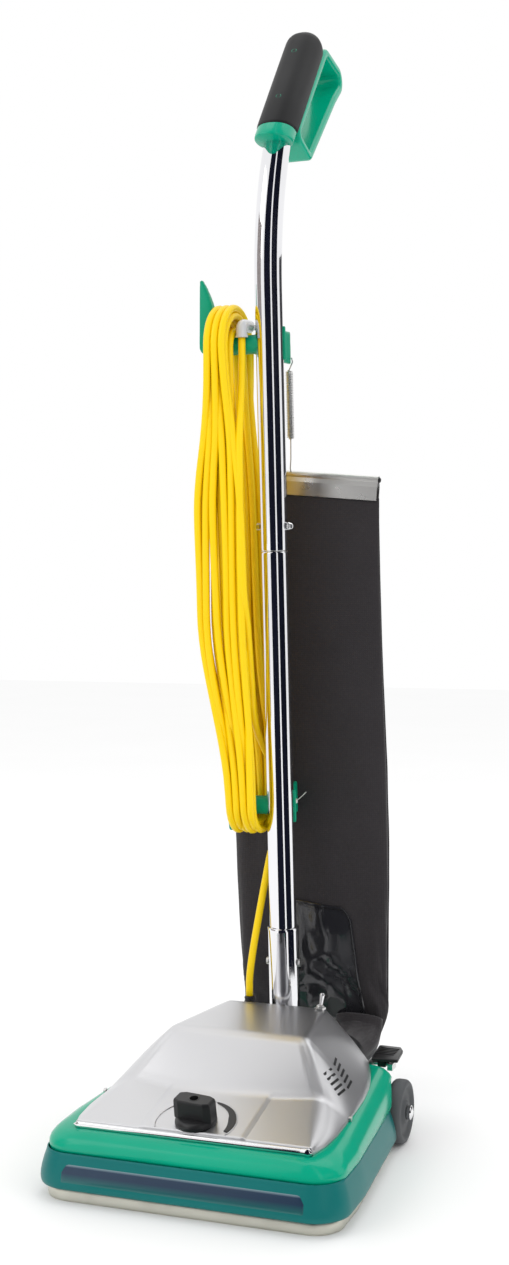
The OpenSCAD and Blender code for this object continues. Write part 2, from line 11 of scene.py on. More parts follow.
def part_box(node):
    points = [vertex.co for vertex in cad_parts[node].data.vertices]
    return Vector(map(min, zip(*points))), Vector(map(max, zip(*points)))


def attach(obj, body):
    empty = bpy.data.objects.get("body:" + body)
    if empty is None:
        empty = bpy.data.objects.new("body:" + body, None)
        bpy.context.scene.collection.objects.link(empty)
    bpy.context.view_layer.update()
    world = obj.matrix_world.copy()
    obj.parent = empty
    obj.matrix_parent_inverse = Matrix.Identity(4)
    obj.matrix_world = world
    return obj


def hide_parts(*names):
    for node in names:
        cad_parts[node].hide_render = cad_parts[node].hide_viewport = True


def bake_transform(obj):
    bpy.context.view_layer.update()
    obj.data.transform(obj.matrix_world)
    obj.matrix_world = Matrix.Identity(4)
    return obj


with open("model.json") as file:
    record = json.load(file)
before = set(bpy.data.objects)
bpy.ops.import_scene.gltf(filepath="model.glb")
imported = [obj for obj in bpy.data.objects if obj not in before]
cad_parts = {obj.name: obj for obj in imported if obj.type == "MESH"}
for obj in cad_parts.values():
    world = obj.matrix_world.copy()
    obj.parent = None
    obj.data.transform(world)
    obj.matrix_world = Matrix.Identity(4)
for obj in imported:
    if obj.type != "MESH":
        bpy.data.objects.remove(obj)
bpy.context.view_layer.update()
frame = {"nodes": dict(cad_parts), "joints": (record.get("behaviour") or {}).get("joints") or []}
random.seed(12)

# ---------- the machine's own frames ----------

MM = 0.001
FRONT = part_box("bottom_plate")[0][1]            # front edge of the sole plate
PIVOT = Vector(next(j["pos_m"] for j in frame["joints"] if j["name"] == "handle_tilt"))
LEAN = math.radians(4.1)                        # the parked handle leans forward
BEND_R, BEND_START, BEND_END = 350, 899, math.radians(43)
GRIP_HALF = 22
GRIP_CUT = math.tan(math.radians(30))
HOOK_UP, HOOK_LOW = 838, 302                    # cord hooks along the handle
TUBE_R = 15.9
CORD_D = 8.6
SEAT_Y, SEAT_Z, SEAT_TILT = 24, 69, math.radians(3.55)
SHELL_D, TAPER_Y, REAR_TAPER = 295, 80, 17      # the base narrows on each side behind TAPER_Y
HOOD_TOP = 146
SWITCH = (56, 281, 136)                         # foot of the switch's threaded neck

HANDLE = Matrix.Translation(PIVOT) @ Matrix.Rotation(LEAN, 4, "X")
GRIP = HANDLE @ Matrix.Translation(Vector((0, BEND_R * (1 - math.cos(BEND_END)),
    BEND_START + BEND_R * math.sin(BEND_END))) * MM) @ Matrix.Rotation(-BEND_END, 4, "X")
MACHINE = Matrix.Translation((0, FRONT, 0))
KNOB = MACHINE @ Matrix.Translation(Vector((-2, 44, 81.5)) * MM) @ Matrix.Rotation(math.radians(12.3), 4,
    "X")


def at(x, y, z, place=MACHINE):
    """A point given in millimetres in one of the frames, as metres in the shared frame."""
    return place @ (Vector((x, y, z)) * MM)


def seat_z(y):
    """Height of the hood's seat at a distance behind the front edge."""
    return SEAT_Z + (y - SEAT_Y) * math.tan(SEAT_TILT)


# ---------- camera ----------

def make_camera():
    yaw, pitch = math.radians(19.95), math.radians(1.24)
    look = Vector((-math.sin(yaw) * math.cos(pitch), math.cos(yaw) * math.cos(pitch), -math.sin(pitch)))
    camera = bpy.data.objects.new("camera", bpy.data.cameras.new("camera"))
    bpy.context.scene.collection.objects.link(camera)
    camera.location = at(610, -1467, 620)
    camera.rotation_mode = "QUATERNION"
    camera.rotation_quaternion = look.to_track_quat("-Z", "Y")
    camera.data.lens = 45.5
    camera.data.clip_start = 0.05
    bpy.context.scene.camera = camera


# ---------- mesh helpers ----------

def mesh_piece(name, points, faces, body, material, replaces=(), smooth=True, ride=True):
    mesh = bpy.data.meshes.new(name)
    mesh.from_pydata([tuple(p) for p in points], [], faces)
    mesh.validate()
    mesh.update()
    for polygon in mesh.polygons:
        polygon.use_smooth = smooth
    piece = bpy.data.objects.new(name, mesh)
    bpy.context.scene.collection.objects.link(piece)
    return finish_piece(piece, body, material, replaces, ride)


def finish_piece(piece, body, material, replaces=(), ride=True):
    piece.data.materials.clear()
    piece.data.materials.append(material)
    if ride:
        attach(piece, body)
    if replaces:
        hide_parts(*replaces)
    return piece


def bm_piece(name, bm, body, material, replaces=(), smooth=True, ride=True):
    bmesh.ops.recalc_face_normals(bm, faces=bm.faces[:])
    mesh = bpy.data.meshes.new(name)
    bm.to_mesh(mesh)
    bm.free()
    for polygon in mesh.polygons:
        polygon.use_smooth = smooth
    piece = bpy.data.objects.new(name, mesh)
    bpy.context.scene.collection.objects.link(piece)
    return finish_piece(piece, body, material, replaces, ride)


def apply_modifiers(piece):
    depsgraph = bpy.context.evaluated_depsgraph_get()
    made = bpy.data.meshes.new_from_object(piece.evaluated_get(depsgraph))
    old = piece.data
    piece.modifiers.clear()
    piece.data = made
    bpy.data.meshes.remove(old)
    return piece


def soften(piece, width, segments=3, angle=35):
    """Rounds a piece's sharp edges with a bevel of a width in millimetres."""
    bevel = piece.modifiers.new("edges", "BEVEL")
    bevel.width = width * MM
    bevel.segments = segments
    bevel.limit_method = "ANGLE"
    bevel.angle_limit = math.radians(angle)
    bevel.harden_normals = False
    apply_modifiers(piece)
    for polygon in piece.data.polygons:
        polygon.use_smooth = True
    return piece


def thicken(piece, thickness):
    """Gives an open skin the thickness of its cloth, inwards."""
    skin = piece.modifiers.new("cloth", "SOLIDIFY")
    skin.thickness = thickness * MM
    skin.offset = -1
    apply_modifiers(piece)
    for polygon in piece.data.polygons:
        polygon.use_smooth = True
    return piece


def mould(piece, voxel, smooth_steps):
    """Melts overlapping solids into one moulded shape with rounded inner corners."""
    remesh = piece.modifiers.new("mould", "REMESH")
    remesh.mode = "VOXEL"
    remesh.voxel_size = voxel * MM
    smooth = piece.modifiers.new("smooth", "SMOOTH")
    smooth.factor = 0.5
    smooth.iterations = smooth_steps
    apply_modifiers(piece)
    for polygon in piece.data.polygons:
        polygon.use_smooth = True
    return piece


def rings_mesh(rings, close_ends=True, wrap=False):
    """Points and faces of a skin over closed rings that have the same number of points."""
    count = len(rings[0])
    points = [p for ring in rings for p in ring]
    faces = []
    spans = len(rings) if wrap else len(rings) - 1
    for i in range(spans):
        for k in range(count):
            a = i * count + k
            b = i * count + (k + 1) % count
            c = ((i + 1) % len(rings)) * count + (k + 1) % count
            d = ((i + 1) % len(rings)) * count + k
            faces.append((a, b, c, d))
    if close_ends and not wrap:
        faces.append(tuple(range(count))[::-1])
        faces.append(tuple((len(rings) - 1) * count + k for k in range(count)))
    return points, faces


def tube_rings(path, radius, sides):
    """Rings of a round tube along a path; radius is a number or a function of the share of the path."""
    tangents = []
    for i in range(len(path)):
        tangents.append((path[min(i + 1, len(path) - 1)] - path[max(i - 1, 0)]).normalized())
    side = tangents[0].orthogonal().normalized()
    rings = []
    for i, (p, t) in enumerate(zip(path, tangents)):
        side = (side - t * side.dot(t)).normalized()
        up = t.cross(side)
        r = radius(i / (len(path) - 1)) if callable(radius) else radius
        rings.append([p + (side * math.cos(a) + up * math.sin(a)) * r
            for a in (2 * math.pi * k / sides for k in range(sides))])
    return rings


def lathe(profile, place, sides=64, axis="Z"):
    """Points and faces of a turned shape: profile is (radius, height) in millimetres, closed on the axis or on itself."""
    turn = {"Z": Matrix.Identity(4), "X": Matrix.Rotation(math.pi / 2, 4, "Y"),
        "Y": Matrix.Rotation(-math.pi / 2, 4, "X")}[axis]
    rings = []
    for r, h in profile:
        rings.append([place @ turn @ (Vector((max(r, 0.01) * math.cos(a), max(r, 0.01) * math.sin(a),
            h)) * MM)
            for a in (2 * math.pi * k / sides for k in range(sides))])
    return rings_mesh(rings, close_ends=profile[0] != profile[-1])


def arc(cx, cy, r, start, end, steps):
    """Points on an arc, angles in degrees."""
    return [(cx + r * math.cos(math.radians(start + (end - start) * i / steps)),
        cy + r * math.sin(math.radians(start + (end - start) * i / steps))) for i in range(steps + 1)]


def rounded_outline(corners, radii, per_corner=10, per_side=8):
    """Closed outline through rounded corners, given anticlockwise; every call gives the same number of points."""
    outline = []
    count = len(corners)
    for i in range(count):
        before, here, after = (Vector(corners[(i + d) % count]) for d in (-1, 0, 1))
        into, out = (here - before).normalized(), (after - here).normalized()
        turn = math.acos(max(-1, min(1, into.dot(out))))
        cut = radii[i] * math.tan(turn / 2)
        start, end = here - into * cut, here + out * cut
        centre = start + Vector((-into.y, into.x)) * radii[i]
        first = math.atan2(start.y - centre.y, start.x - centre.x)
        for k in range(per_corner + 1):
            a = first + turn * k / per_corner
            outline.append(Vector((centre.x + radii[i] * math.cos(a), centre.y + radii[i] * math.sin(a))))
        nxt = Vector(corners[(i + 1) % count])
        after2 = Vector(corners[(i + 2) % count])
        out2 = (after2 - nxt).normalized()
        turn2 = math.acos(max(-1, min(1, out.dot(out2))))
        stop = nxt - out * radii[(i + 1) % count] * math.tan(turn2 / 2)
        for k in range(1, per_side):
            outline.append(end.lerp(stop, k / per_side))
    return outline


def blend_value(a, b, t):
    t = max(0.0, min(1.0, t))
    t = t * t * (3 - 2 * t)
    return a + (b - a) * t


# ---------- materials ----------

class Graph:
    """Short names for the nodes that every material here uses."""

    def __init__(self, name):
        self.material = bpy.data.materials.new(name)
        self.material.use_nodes = True
        self.nodes = self.material.node_tree.nodes
        self.links = self.material.node_tree.links
        self.shader = self.nodes["Principled BSDF"]
        self.where = self.add("ShaderNodeTexCoord").outputs["Object"]

    def add(self, kind, **settings):
        node = self.nodes.new(kind)
        for key, value in settings.items():
            setattr(node, key, value)
        return node

    def link(self, a, b):
        self.links.new(a, b)

    def noise(self, scale, detail=3.0, rough=0.5, stretch=None):
        node = self.add("ShaderNodeTexNoise")
        node.inputs["Scale"].default_value = scale
        node.inputs["Detail"].default_value = detail
        node.inputs["Roughness"].default_value = rough
        source = self.where
        if stretch:
            mapping = self.add("ShaderNodeMapping")
            mapping.inputs["Scale"].default_value = stretch
            self.link(source, mapping.inputs["Vector"])
            source = mapping.outputs["Vector"]
        self.link(source, node.inputs["Vector"])
        return node.outputs["Fac"]

    def ramp(self, source, low, high, a, b):
        node = self.add("ShaderNodeMapRange")
        node.inputs["From Min"].default_value = low
        node.inputs["From Max"].default_value = high
        node.inputs["To Min"].default_value = a
        node.inputs["To Max"].default_value = b
        self.link(source, node.inputs["Value"])
        return node.outputs["Result"]

    def mix(self, factor, a, b):
        node = self.add("ShaderNodeMix", data_type="RGBA")
        self.link(factor, node.inputs["Factor"])
        node.inputs["A"].default_value = (*a, 1)
        node.inputs["B"].default_value = (*b, 1)
        return node.outputs["Result"]

    def bump(self, source, strength, distance):
        node = self.add("ShaderNodeBump")
        node.inputs["Strength"].default_value = strength
        node.inputs["Distance"].default_value = distance
        self.link(source, node.inputs["Height"])
        before = self.shader.inputs["Normal"]
        if before.is_linked:
            self.link(before.links[0].from_socket, node.inputs["Normal"])
        self.link(node.outputs["Normal"], before)

    def set(self, **values):
        for key, value in values.items():
            self.shader.inputs[key.replace("_", " ")].default_value = value


def shade(colour, amount):
    return tuple(max(0.0, min(1.0, c * amount)) for c in colour)


def moulded(name, colour, rough, grain=0.04, variation=0.08, coat=0.0, spec=0.5):
    """Moulded plastic or rubber: slight colour drift, fine grain, roughness that varies."""
    g = Graph(name)
    g.link(g.mix(g.noise(14, 4), shade(colour, 1 - variation), shade(colour, 1 + variation)),
        g.shader.inputs["Base Color"])
    g.link(g.ramp(g.noise(12, 2), 0.3, 0.7, rough * 0.94, min(1, rough * 1.06)),
        g.shader.inputs["Roughness"])
    if grain:
        g.bump(g.noise(2600, 2), grain, 0.0002)
        g.bump(g.noise(25, 2), grain * 0.6, 0.001)
    g.set(Coat_Weight=coat, Coat_Roughness=0.08, Specular_IOR_Level=spec)
    return g.material


def metal(name, colour, rough, scratch=0.02, stretch=(1, 1, 1), scale=900, drift=0.25, waves=0.0):
    """Metal with fine directional scratches and a roughness that varies slowly."""
    g = Graph(name)
    g.set(Metallic=1.0)
    g.link(g.mix(g.noise(8, 3), shade(colour, 0.94), shade(colour, 1.04)), g.shader.inputs["Base Color"])
    g.link(g.ramp(g.noise(35, 4), 0.3, 0.7, rough * (1 - drift), rough * (1 + drift)),
        g.shader.inputs["Roughness"])
    if scratch:
        g.bump(g.noise(scale, 3, 0.6, stretch), scratch, 0.0002)
    if waves:
        g.bump(g.noise(9, 2), waves, 0.004)
    return g.material


def satin(name, colour, rough):
    """Satin metallic finish under a thin clear coat."""
    g = Graph(name)
    g.set(Metallic=1.0, Coat_Weight=0.2, Coat_Roughness=0.12)
    g.link(g.mix(g.noise(6, 2), shade(colour, 0.98), shade(colour, 1.02)), g.shader.inputs["Base Color"])
    g.link(g.ramp(g.noise(10, 2), 0.3, 0.7, rough * 0.96, rough * 1.04), g.shader.inputs["Roughness"])
    return g.material


def woven_cloth(name, colour, thread=0.00075, sheen=0.25):
    """Plain weave: two crossed waves of thread, lint and a faded drift in the colour."""
    g = Graph(name)
    waves = []
    for turn in (0.0, math.pi / 2):
        mapping = g.add("ShaderNodeMapping")
        mapping.inputs["Rotation"].default_value = (0, turn, 0)
        g.link(g.where, mapping.inputs["Vector"])
        wave = g.add("ShaderNodeTexWave", wave_type="BANDS", bands_direction="X")
        wave.inputs["Scale"].default_value = 1 / thread / 10
        wave.inputs["Distortion"].default_value = 1.2
        wave.inputs["Detail Scale"].default_value = 3.0
        g.link(mapping.outputs["Vector"], wave.inputs["Vector"])
        waves.append(wave.outputs["Fac"])
    weave = g.add("ShaderNodeMath", operation="MULTIPLY")
    g.link(waves[0], weave.inputs[0])
    g.link(waves[1], weave.inputs[1])
    tone = g.add("ShaderNodeMix", data_type="RGBA", blend_type="MULTIPLY")
    tone.inputs["Factor"].default_value = 0.45
    g.link(g.mix(g.noise(11, 5, 0.6), shade(colour, 0.8), shade(colour, 1.25)), tone.inputs["A"])
    shadow = g.mix(weave.outputs["Value"], (0.55, 0.55, 0.55), (1.0, 1.0, 1.0))
    g.link(shadow, tone.inputs["B"])
    g.link(tone.outputs["Result"], g.shader.inputs["Base Color"])
    g.link(g.ramp(g.noise(300, 3), 0.3, 0.7, 0.72, 0.95), g.shader.inputs["Roughness"])
    g.bump(weave.outputs["Value"], 0.35, 0.0006)
    g.bump(g.noise(30, 4), 0.15, 0.002)
    g.set(Sheen_Weight=sheen, Sheen_Roughness=0.45, Specular_IOR_Level=0.25)
    return g.material


def turned_wood(name, dark, light):
    g = Graph(name)
    grain = g.noise(30, 6, 0.65, (0.25, 3, 3))
    g.link(g.mix(grain, dark, light), g.shader.inputs["Base Color"])
    g.set(Roughness=0.5, Coat_Weight=0.3, Coat_Roughness=0.2)
    g.bump(grain, 0.15, 0.0005)
    return g.material


def vinyl_film(name):
    """Thin glossy vinyl that shows a few soft wrinkles."""
    g = Graph(name)
    g.link(g.mix(g.noise(9, 3), (0.008, 0.008, 0.01), (0.03, 0.03, 0.034)), g.shader.inputs["Base Color"])
    g.link(g.ramp(g.noise(22, 4), 0.3, 0.7, 0.1, 0.22), g.shader.inputs["Roughness"])
    g.bump(g.noise(26, 3, 0.5, (1, 1, 0.35)), 0.35, 0.004)
    g.set(Coat_Weight=0.6, Coat_Roughness=0.06)
    return g.material


def magnet_band_and_highlight(name):
    """Dark magnet behind the bumper's tinted front, which fades out downwards, with a painted highlight: a pale grey
    strip along its upper edge.
    """
    g = Graph(name)
    split = g.add("ShaderNodeSeparateXYZ")
    g.link(g.where, split.inputs["Vector"])
    height = split.outputs["Z"]
    body = g.mix(g.ramp(height, 0.0215, 0.0315, 0.0, 1.0), (0.0, 0.135, 0.125), (0.004, 0.03, 0.075))
    # painted highlight: the pale grey strip at the top of the band stands in for the light it catches there
    edge = g.add("ShaderNodeMix", data_type="RGBA")
    g.link(g.ramp(height, 0.0375, 0.0395, 0.0, 0.75), edge.inputs["Factor"])
    g.link(body, edge.inputs["A"])
    edge.inputs["B"].default_value = (0.2, 0.3, 0.34, 1)
    g.link(edge.outputs["Result"], g.shader.inputs["Base Color"])
    g.link(g.ramp(g.noise(60, 4), 0.3, 0.7, 0.34, 0.48), g.shader.inputs["Roughness"])
    g.set(Coat_Weight=0.3, Coat_Roughness=0.15)
    return g.material


GREEN = (0.0, 0.36, 0.215)
M = {
    "green": moulded("green_abs", GREEN, 0.2, grain=0.0, coat=0.12, spec=0.25),
    "teal": moulded("teal_bumper", (0.0, 0.15, 0.145), 0.36, grain=0.0, spec=0.25),
    "magnet": magnet_band_and_highlight("magnet_bar"),
    "shadow": moulded("deep_shadow", (0.002, 0.002, 0.002), 0.9, grain=0.0, spec=0.05),
    "hook": moulded("hook_green", (0.0, 0.3, 0.165), 0.32, grain=0.0, spec=0.25),
    "black": moulded("black_plastic", (0.012, 0.012, 0.013), 0.38, grain=0.08),
    "pad": moulded("grip_rubber", (0.012, 0.012, 0.013), 0.5, grain=0.12, spec=0.25),
    "wheel": moulded("wheel_rubber", (0.075, 0.08, 0.085), 0.6, grain=0.12),
    "nylon": moulded("white_nylon", (0.78, 0.77, 0.73), 0.4),
    "grey_nylon": moulded("grey_nylon", (0.2, 0.2, 0.21), 0.5),
    "belt": moulded("belt_rubber", (0.015, 0.015, 0.015), 0.6, grain=0.15),
    "cord": moulded("cord_yellow", (1.0, 0.68, 0.0), 0.38, grain=0.0, variation=0.03, spec=0.3),
    "plate": metal("cream_plate", (0.7, 0.68, 0.6), 0.42, scratch=0.05, stretch=(0.1, 3, 3)),
    "hood": satin("hood_metal", (0.72, 0.72, 0.735), 0.4),
    "chrome": metal("tube_chrome", (0.86, 0.86, 0.88), 0.045, scratch=0.01, stretch=(3, 3, 0.1)),
    "trim": metal("bright_trim", (0.88, 0.88, 0.89), 0.09, scratch=0.01),
    "zinc": metal("zinc_steel", (0.7, 0.7, 0.69), 0.3, scratch=0.06),
    "steel": metal("motor_steel", (0.45, 0.46, 0.47), 0.38, scratch=0.08, stretch=(0.1, 3, 3)),
    "cast": metal("fan_cast", (0.5, 0.5, 0.51), 0.5, scratch=0.25, scale=500),
    "clip": metal("clip_aluminium", (0.74, 0.73, 0.71), 0.34, scratch=0.06, stretch=(0.05, 3, 3)),
    "cloth": woven_cloth("bag_cloth", (0.034, 0.03, 0.033)),
    "vinyl": vinyl_film("vinyl_patch"),
    "wood": turned_wood("brush_wood", (0.32, 0.2, 0.1), (0.62, 0.44, 0.25)),
    "bristle": moulded("bristle", (0.02, 0.02, 0.02), 0.5),
    "thread": moulded("stitch_thread", (0.006, 0.006, 0.006), 0.7, grain=0.0),
    "plug": moulded("plug_clear", (0.62, 0.63, 0.65), 0.12, grain=0.0, coat=0.8),
}

CAD_FINISH = {
    "plate_screws": "zinc", "motor_housing": "steel", "motor_end_cap": "steel", "motor_bearings": "zinc",
    "motor_shaft": "steel", "fan_housing": "cast", "fan_impeller": "nylon", "drive_belt": "belt",
    "brush_roll": "wood", "brush_bristles": "bristle", "brush_end_blocks": "grey_nylon",
    "exhaust_duct": "grey_nylon", "bag_collar": "black", "rear_axle": "zinc", "front_carriage": "zinc",
    "front_axle": "zinc", "pivot_bracket": "steel", "pivot_pin": "zinc", "pedal_pin": "zinc",
    "switch_body": "black", "height_cam": "grey_nylon", "bottom_plate": "plate", "plug_blades": "zinc",
    "tube_bolt": "zinc", "hood_screws": "zinc", "socket_screws": "zinc", "axle_caps": "trim",
}


def finish_cad_nodes():
    for node, finish in CAD_FINISH.items():
        piece = frame["nodes"][node]
        piece.data.materials.clear()
        piece.data.materials.append(M[finish])


# ---------- supply cord ----------

LEAD = [(-38, 301, 149.4), (-38, 301.5, 172), (-35, 306, 205), (-31, 313, 240), (-26, 321, 280),
    (-20, 328, 320), (-12, 333, 350), (-9.4, 334, 376), (-12, 330, 402), (-19, 318, 428), (-25, 301, 455),
    (-27, 285, 482), (-27, 278, 520)]


def spline(points, per_span):
    """Smooth curve through points."""
    p = [points[0] * 2 - points[1]] + points + [points[-1] * 2 - points[-2]]
    out = []
    for i in range(1, len(p) - 2):
        for k in range(per_span):
            t = k / per_span
            out.append(0.5 * ((2 * p[i]) + (p[i + 1] - p[i - 1]) * t
                + (2 * p[i - 1] - 5 * p[i] + 4 * p[i + 1] - p[i + 2]) * t * t
                + (3 * p[i] - p[i - 1] - 3 * p[i + 1] + p[i + 2]) * t * t * t))
    out.append(p[-2])
    return out


TURNS = 11
ORDER = [10, 8, 6, 4, 2, 0, 1, 3, 5, 7,
    9]      # places of the turns, counted from the outside, as they were wound
BEND = 22                                       # radius of the innermost turn over a hook


def winding_cell(rank):
    """Where a strand lies over the upper hook, at mid height and under the lower hook: x and depth."""
    lane, layer = rank // 4, [3, 0, 2, 1][rank % 4]
    top = (-58.4 + 8.7 * lane, BEND + 8.6 * layer)
    middle = (-83.5 + 5.5 * rank, 31.5 if rank % 2 == 0 else 22.5)
    low_lane, low_layer = rank // 3, [2, 0, 1][rank % 3]
    bottom = (-49 + 8.7 * low_lane, BEND + 8.6 * low_layer)
    return top, middle, bottom


def strand(low, middle, high, side, z_low, z_high, seed):
    """One run between the hooks, as points from the lower end to the upper."""
    points = []
    steps = 15
    for i in range(steps + 1):
        s = i / steps
        x = blend_value(low[0], middle[0], s / 0.42) if s < 0.42 else blend_value(middle[0], high[0],
            (s - 0.62) / 0.38)
        y = blend_value(low[1], middle[1], s / 0.3) if s < 0.3 else blend_value(middle[1], high[1],
            (s - 0.78) / 0.22)
        sway = math.sin(math.pi * s)
        x += sway * 1.9 * math.sin(5.1 * s + seed * 2.4)
        y += sway * 1.2 * math.sin(4.3 * s + seed * 1.7)
        points.append(Vector((x, side * y, z_low + (z_high - z_low) * s)))
    return points


def crest(x0, x1, y0, y1, centre, up, steps=12):
    """Half turn over or under a hook, from depth y0 on one side to depth y1 on the other."""
    points = []
    for i in range(1, steps):
        a = math.pi * i / steps
        s = i / steps
        r = abs(y0) + (abs(y1) - abs(y0)) * s
        points.append(Vector((x0 + (x1 - x0) * s, math.copysign(r, y0) * math.cos(a),
            centre + up * r * math.sin(a))))
    return points


def make_cord():
    top_centre, low_centre = HOOK_UP + 12 + CORD_D / 2 - BEND, HOOK_LOW - 12 - CORD_D / 2 + BEND
    lead = spline([Vector(p) for p in LEAD], 4)
    path = [MACHINE @ (p * MM) for p in lead]
    start = HANDLE.inverted() @ path[-1] / MM
    local = []
    for k, rank in enumerate(ORDER):
        top, middle, bottom = winding_cell(rank)
        front = strand(bottom, middle, top, -1, low_centre, top_centre, k)
        if k == 0:
            front = [p for p in front if p.z > start.z + 45]
            front[0].x, front[0].y = (front[0].x + start.x) / 2, (front[0].y + start.y) / 2
        rear = strand(bottom, (middle[0] + 2, middle[1]), top, 1, low_centre, top_centre, k + 40)[::-1]
        local += front
        local += crest(top[0], top[0], -top[1], top[1], top_centre, 1)
        local += rear
        if k + 1 < TURNS:
            _, _, nxt = winding_cell(ORDER[k + 1])
        else:
            nxt = (-23.5, BEND + 8.6)
        local += crest(bottom[0], nxt[0], bottom[1], -nxt[1], low_centre, -1)
    plug_foot = Vector((-28.4, -14.5, HOOK_UP + 7))
    last = strand((-23.5, BEND + 8.6), (-29, 31), (-28.4, 15), -1, low_centre, plug_foot.z - 12, 77)
    local += last + [plug_foot]
    path += [HANDLE @ (p * MM) for p in spline(local, 2)]
    path = even(path, 0.0085)
    length = sum((b - a).length for a, b in zip(path, path[1:]))
    points, faces = rings_mesh(tube_rings(path, CORD_D / 2 * MM, 10))
    cord = mesh_piece("supply_cord", points, faces, "handle", M["cord"],
        ("cord_hank", "cord_lead"), ride=False)
    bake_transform(cord)
    print("cord length", round(length, 3))
    return cord


def even(path, step):
    """The same path with its points about one step apart."""
    out = [path[0]]
    left = step
    for a, b in zip(path, path[1:]):
        span = (b - a).length
        done = 0.0
        while span - done >= left:
            done += left
            out.append(a.lerp(b, done / span))
            left = step
        left = max(left - (span - done), 1e-6)
    if (out[-1] - path[-1]).length > step * 0.3:
        out.append(path[-1])
    return out


# ---------- floor base ----------

def half_at(half, y):
    """Half width of the base at a distance from its front."""
    return half - REAR_TAPER * max(0, y - TAPER_Y) / (SHELL_D - TAPER_Y)


def base_outline(half, y0, y1, r, rear_r=12):
    rear = half_at(half, y1)
    corners = [(-half, y0), (half, y0), (half, TAPER_Y), (rear, y1), (-rear, y1), (-half, TAPER_Y)]
    return rounded_outline(corners, [r, r, 150, rear_r, rear_r, 150], 12, 12)


def make_housing():
    """The green shell: a skirt behind the bumper, a rolled shoulder, a flange under the hood and wheel arches."""
    rings = []
    for half, y0, r, z in ((159.5, 4.5, 30, 13), (160, 4, 30, 15), (160, 4, 30, 47), (161.6, 2, 34, 49),
        (162.4, 1, 36, 52)):
        rings.append([at(p.x, p.y, z) for p in base_outline(half, y0, SHELL_D, r)])
    for half, y0, r, inset, share in ((162.2, 1.3, 36, 0, 0.2), (161, 2.7, 36, 0.4, 0.4),
        (158.4, 5, 37, 1.2, 0.6),
            (154.4, 8.4, 37, 2.6, 0.79), (149.4, 12.4, 38, 4.6, 0.92), (143.6, 17, 38, 7, 0.99),
            (138, 21.5, 37, 9, 1.0),
            (129, 28, 34, 11, 0.93), (124, 33, 30, 12, 0.7)):
        outline = base_outline(half, y0, SHELL_D - inset, r)
        rings.append([at(p.x, p.y, 52 + (seat_z(p.y) - 51) * share) for p in outline])
    points, faces = rings_mesh(rings, close_ends=False)
    shell = mesh_piece("green_shell", points, faces, "base", M["green"], ("base_housing",))
    thicken(shell, 2.6)
    cutter = bmesh.new()
    for side in (-1, 1):
        turn = Matrix.Translation(at(side * 155, 288, 36)) @ Matrix.Rotation(math.pi / 2, 4, "Y")
        bmesh.ops.create_cone(cutter, cap_ends=True, segments=96, radius1=0.0395, radius2=0.0395,
            depth=0.038, matrix=turn)
    arch_mesh = bpy.data.meshes.new("arches")
    cutter.to_mesh(arch_mesh)
    cutter.free()
    arches = bpy.data.objects.new("arches", arch_mesh)
    bpy.context.scene.collection.objects.link(arches)
    cut = shell.modifiers.new("arches", "BOOLEAN")
    cut.object = arches
    cut.operation = "DIFFERENCE"
    cut.solver = "EXACT"
    apply_modifiers(shell)
    bpy.data.objects.remove(arches)
    for polygon in shell.data.polygons:
        polygon.use_smooth = True
    edges = shell.modifiers.new("edges", "BEVEL")
    edges.width = 0.8 * MM
    edges.segments = 2
    edges.limit_method = "ANGLE"
    edges.angle_limit = math.radians(50)
    apply_modifiers(shell)
    for side in (-1, 1):
        block("wheel_wall_" + ("r" if side > 0 else "l"), "base", M["green"],
            (side * 133.5, 269.5, 43), (3, 47, 60), 0.8)
    return shell


def block(name, body, material, middle, size, round_edges, place=MACHINE, replaces=()):
    """Box with rounded edges, given by its middle and its size in millimetres."""
    bm = bmesh.new()
    bmesh.ops.create_cube(bm, size=1.0)
    for v in bm.verts:
        v.co = place @ (Vector([m + c * d for m, c, d in zip(middle, v.co, size)]) * MM)
    return soften(bm_piece(name, bm, body, material, replaces), round_edges, 3)


def belt_path(half, y0, y1, r):
    """Open outline round the left side, the front and the right side."""
    right = [Vector((half_at(half, y), y)) for y in (y0 + r + (y1 - y0 - r) * i / 18 for i in range(19))]
    left = [Vector((-p.x, p.y)) for p in right[::-1]]
    left += [Vector(p) for p in arc(-half + r, y0 + r, r, 180, 270, 16)[1:]]
    front = [Vector((-half + r + (2 * half - 2 * r) * i / 24, y0)) for i in range(1, 24)]
    return left + front + [Vector(p) for p in arc(half - r, y0 + r, r, 270, 360, 16)[:-1]] + right


def path_profile(outline, profile):
    """Sweeps a closed profile of (outward, up) along an open outline that lies flat."""
    rings = []
    for i, p in enumerate(outline):
        t = (outline[min(i + 1, len(outline) - 1)] - outline[max(i - 1, 0)]).normalized()
        out = Vector((t.y, -t.x))
        rings.append([at(p.x + out.x * u, p.y + out.y * u, z) for u, z in profile])
    return rings_mesh(rings)


BULGE = [(4.6, 13.2), (7.4, 14.4), (8.3, 16.6), (8.6, 20), (8.2, 25), (7.2, 30), (5.9, 35), (4.4, 40),
    (3.0, 44),
    (2.0, 47), (1.5, 49.4)]


def bulge_at(z):
    """How far the bumper stands out at a height."""
    for (u0, z0), (u1, z1) in zip(BULGE, BULGE[1:]):
        if z0 <= z <= z1:
            return u0 + (u1 - u0) * (z - z0) / (z1 - z0)
    return BULGE[0][0]


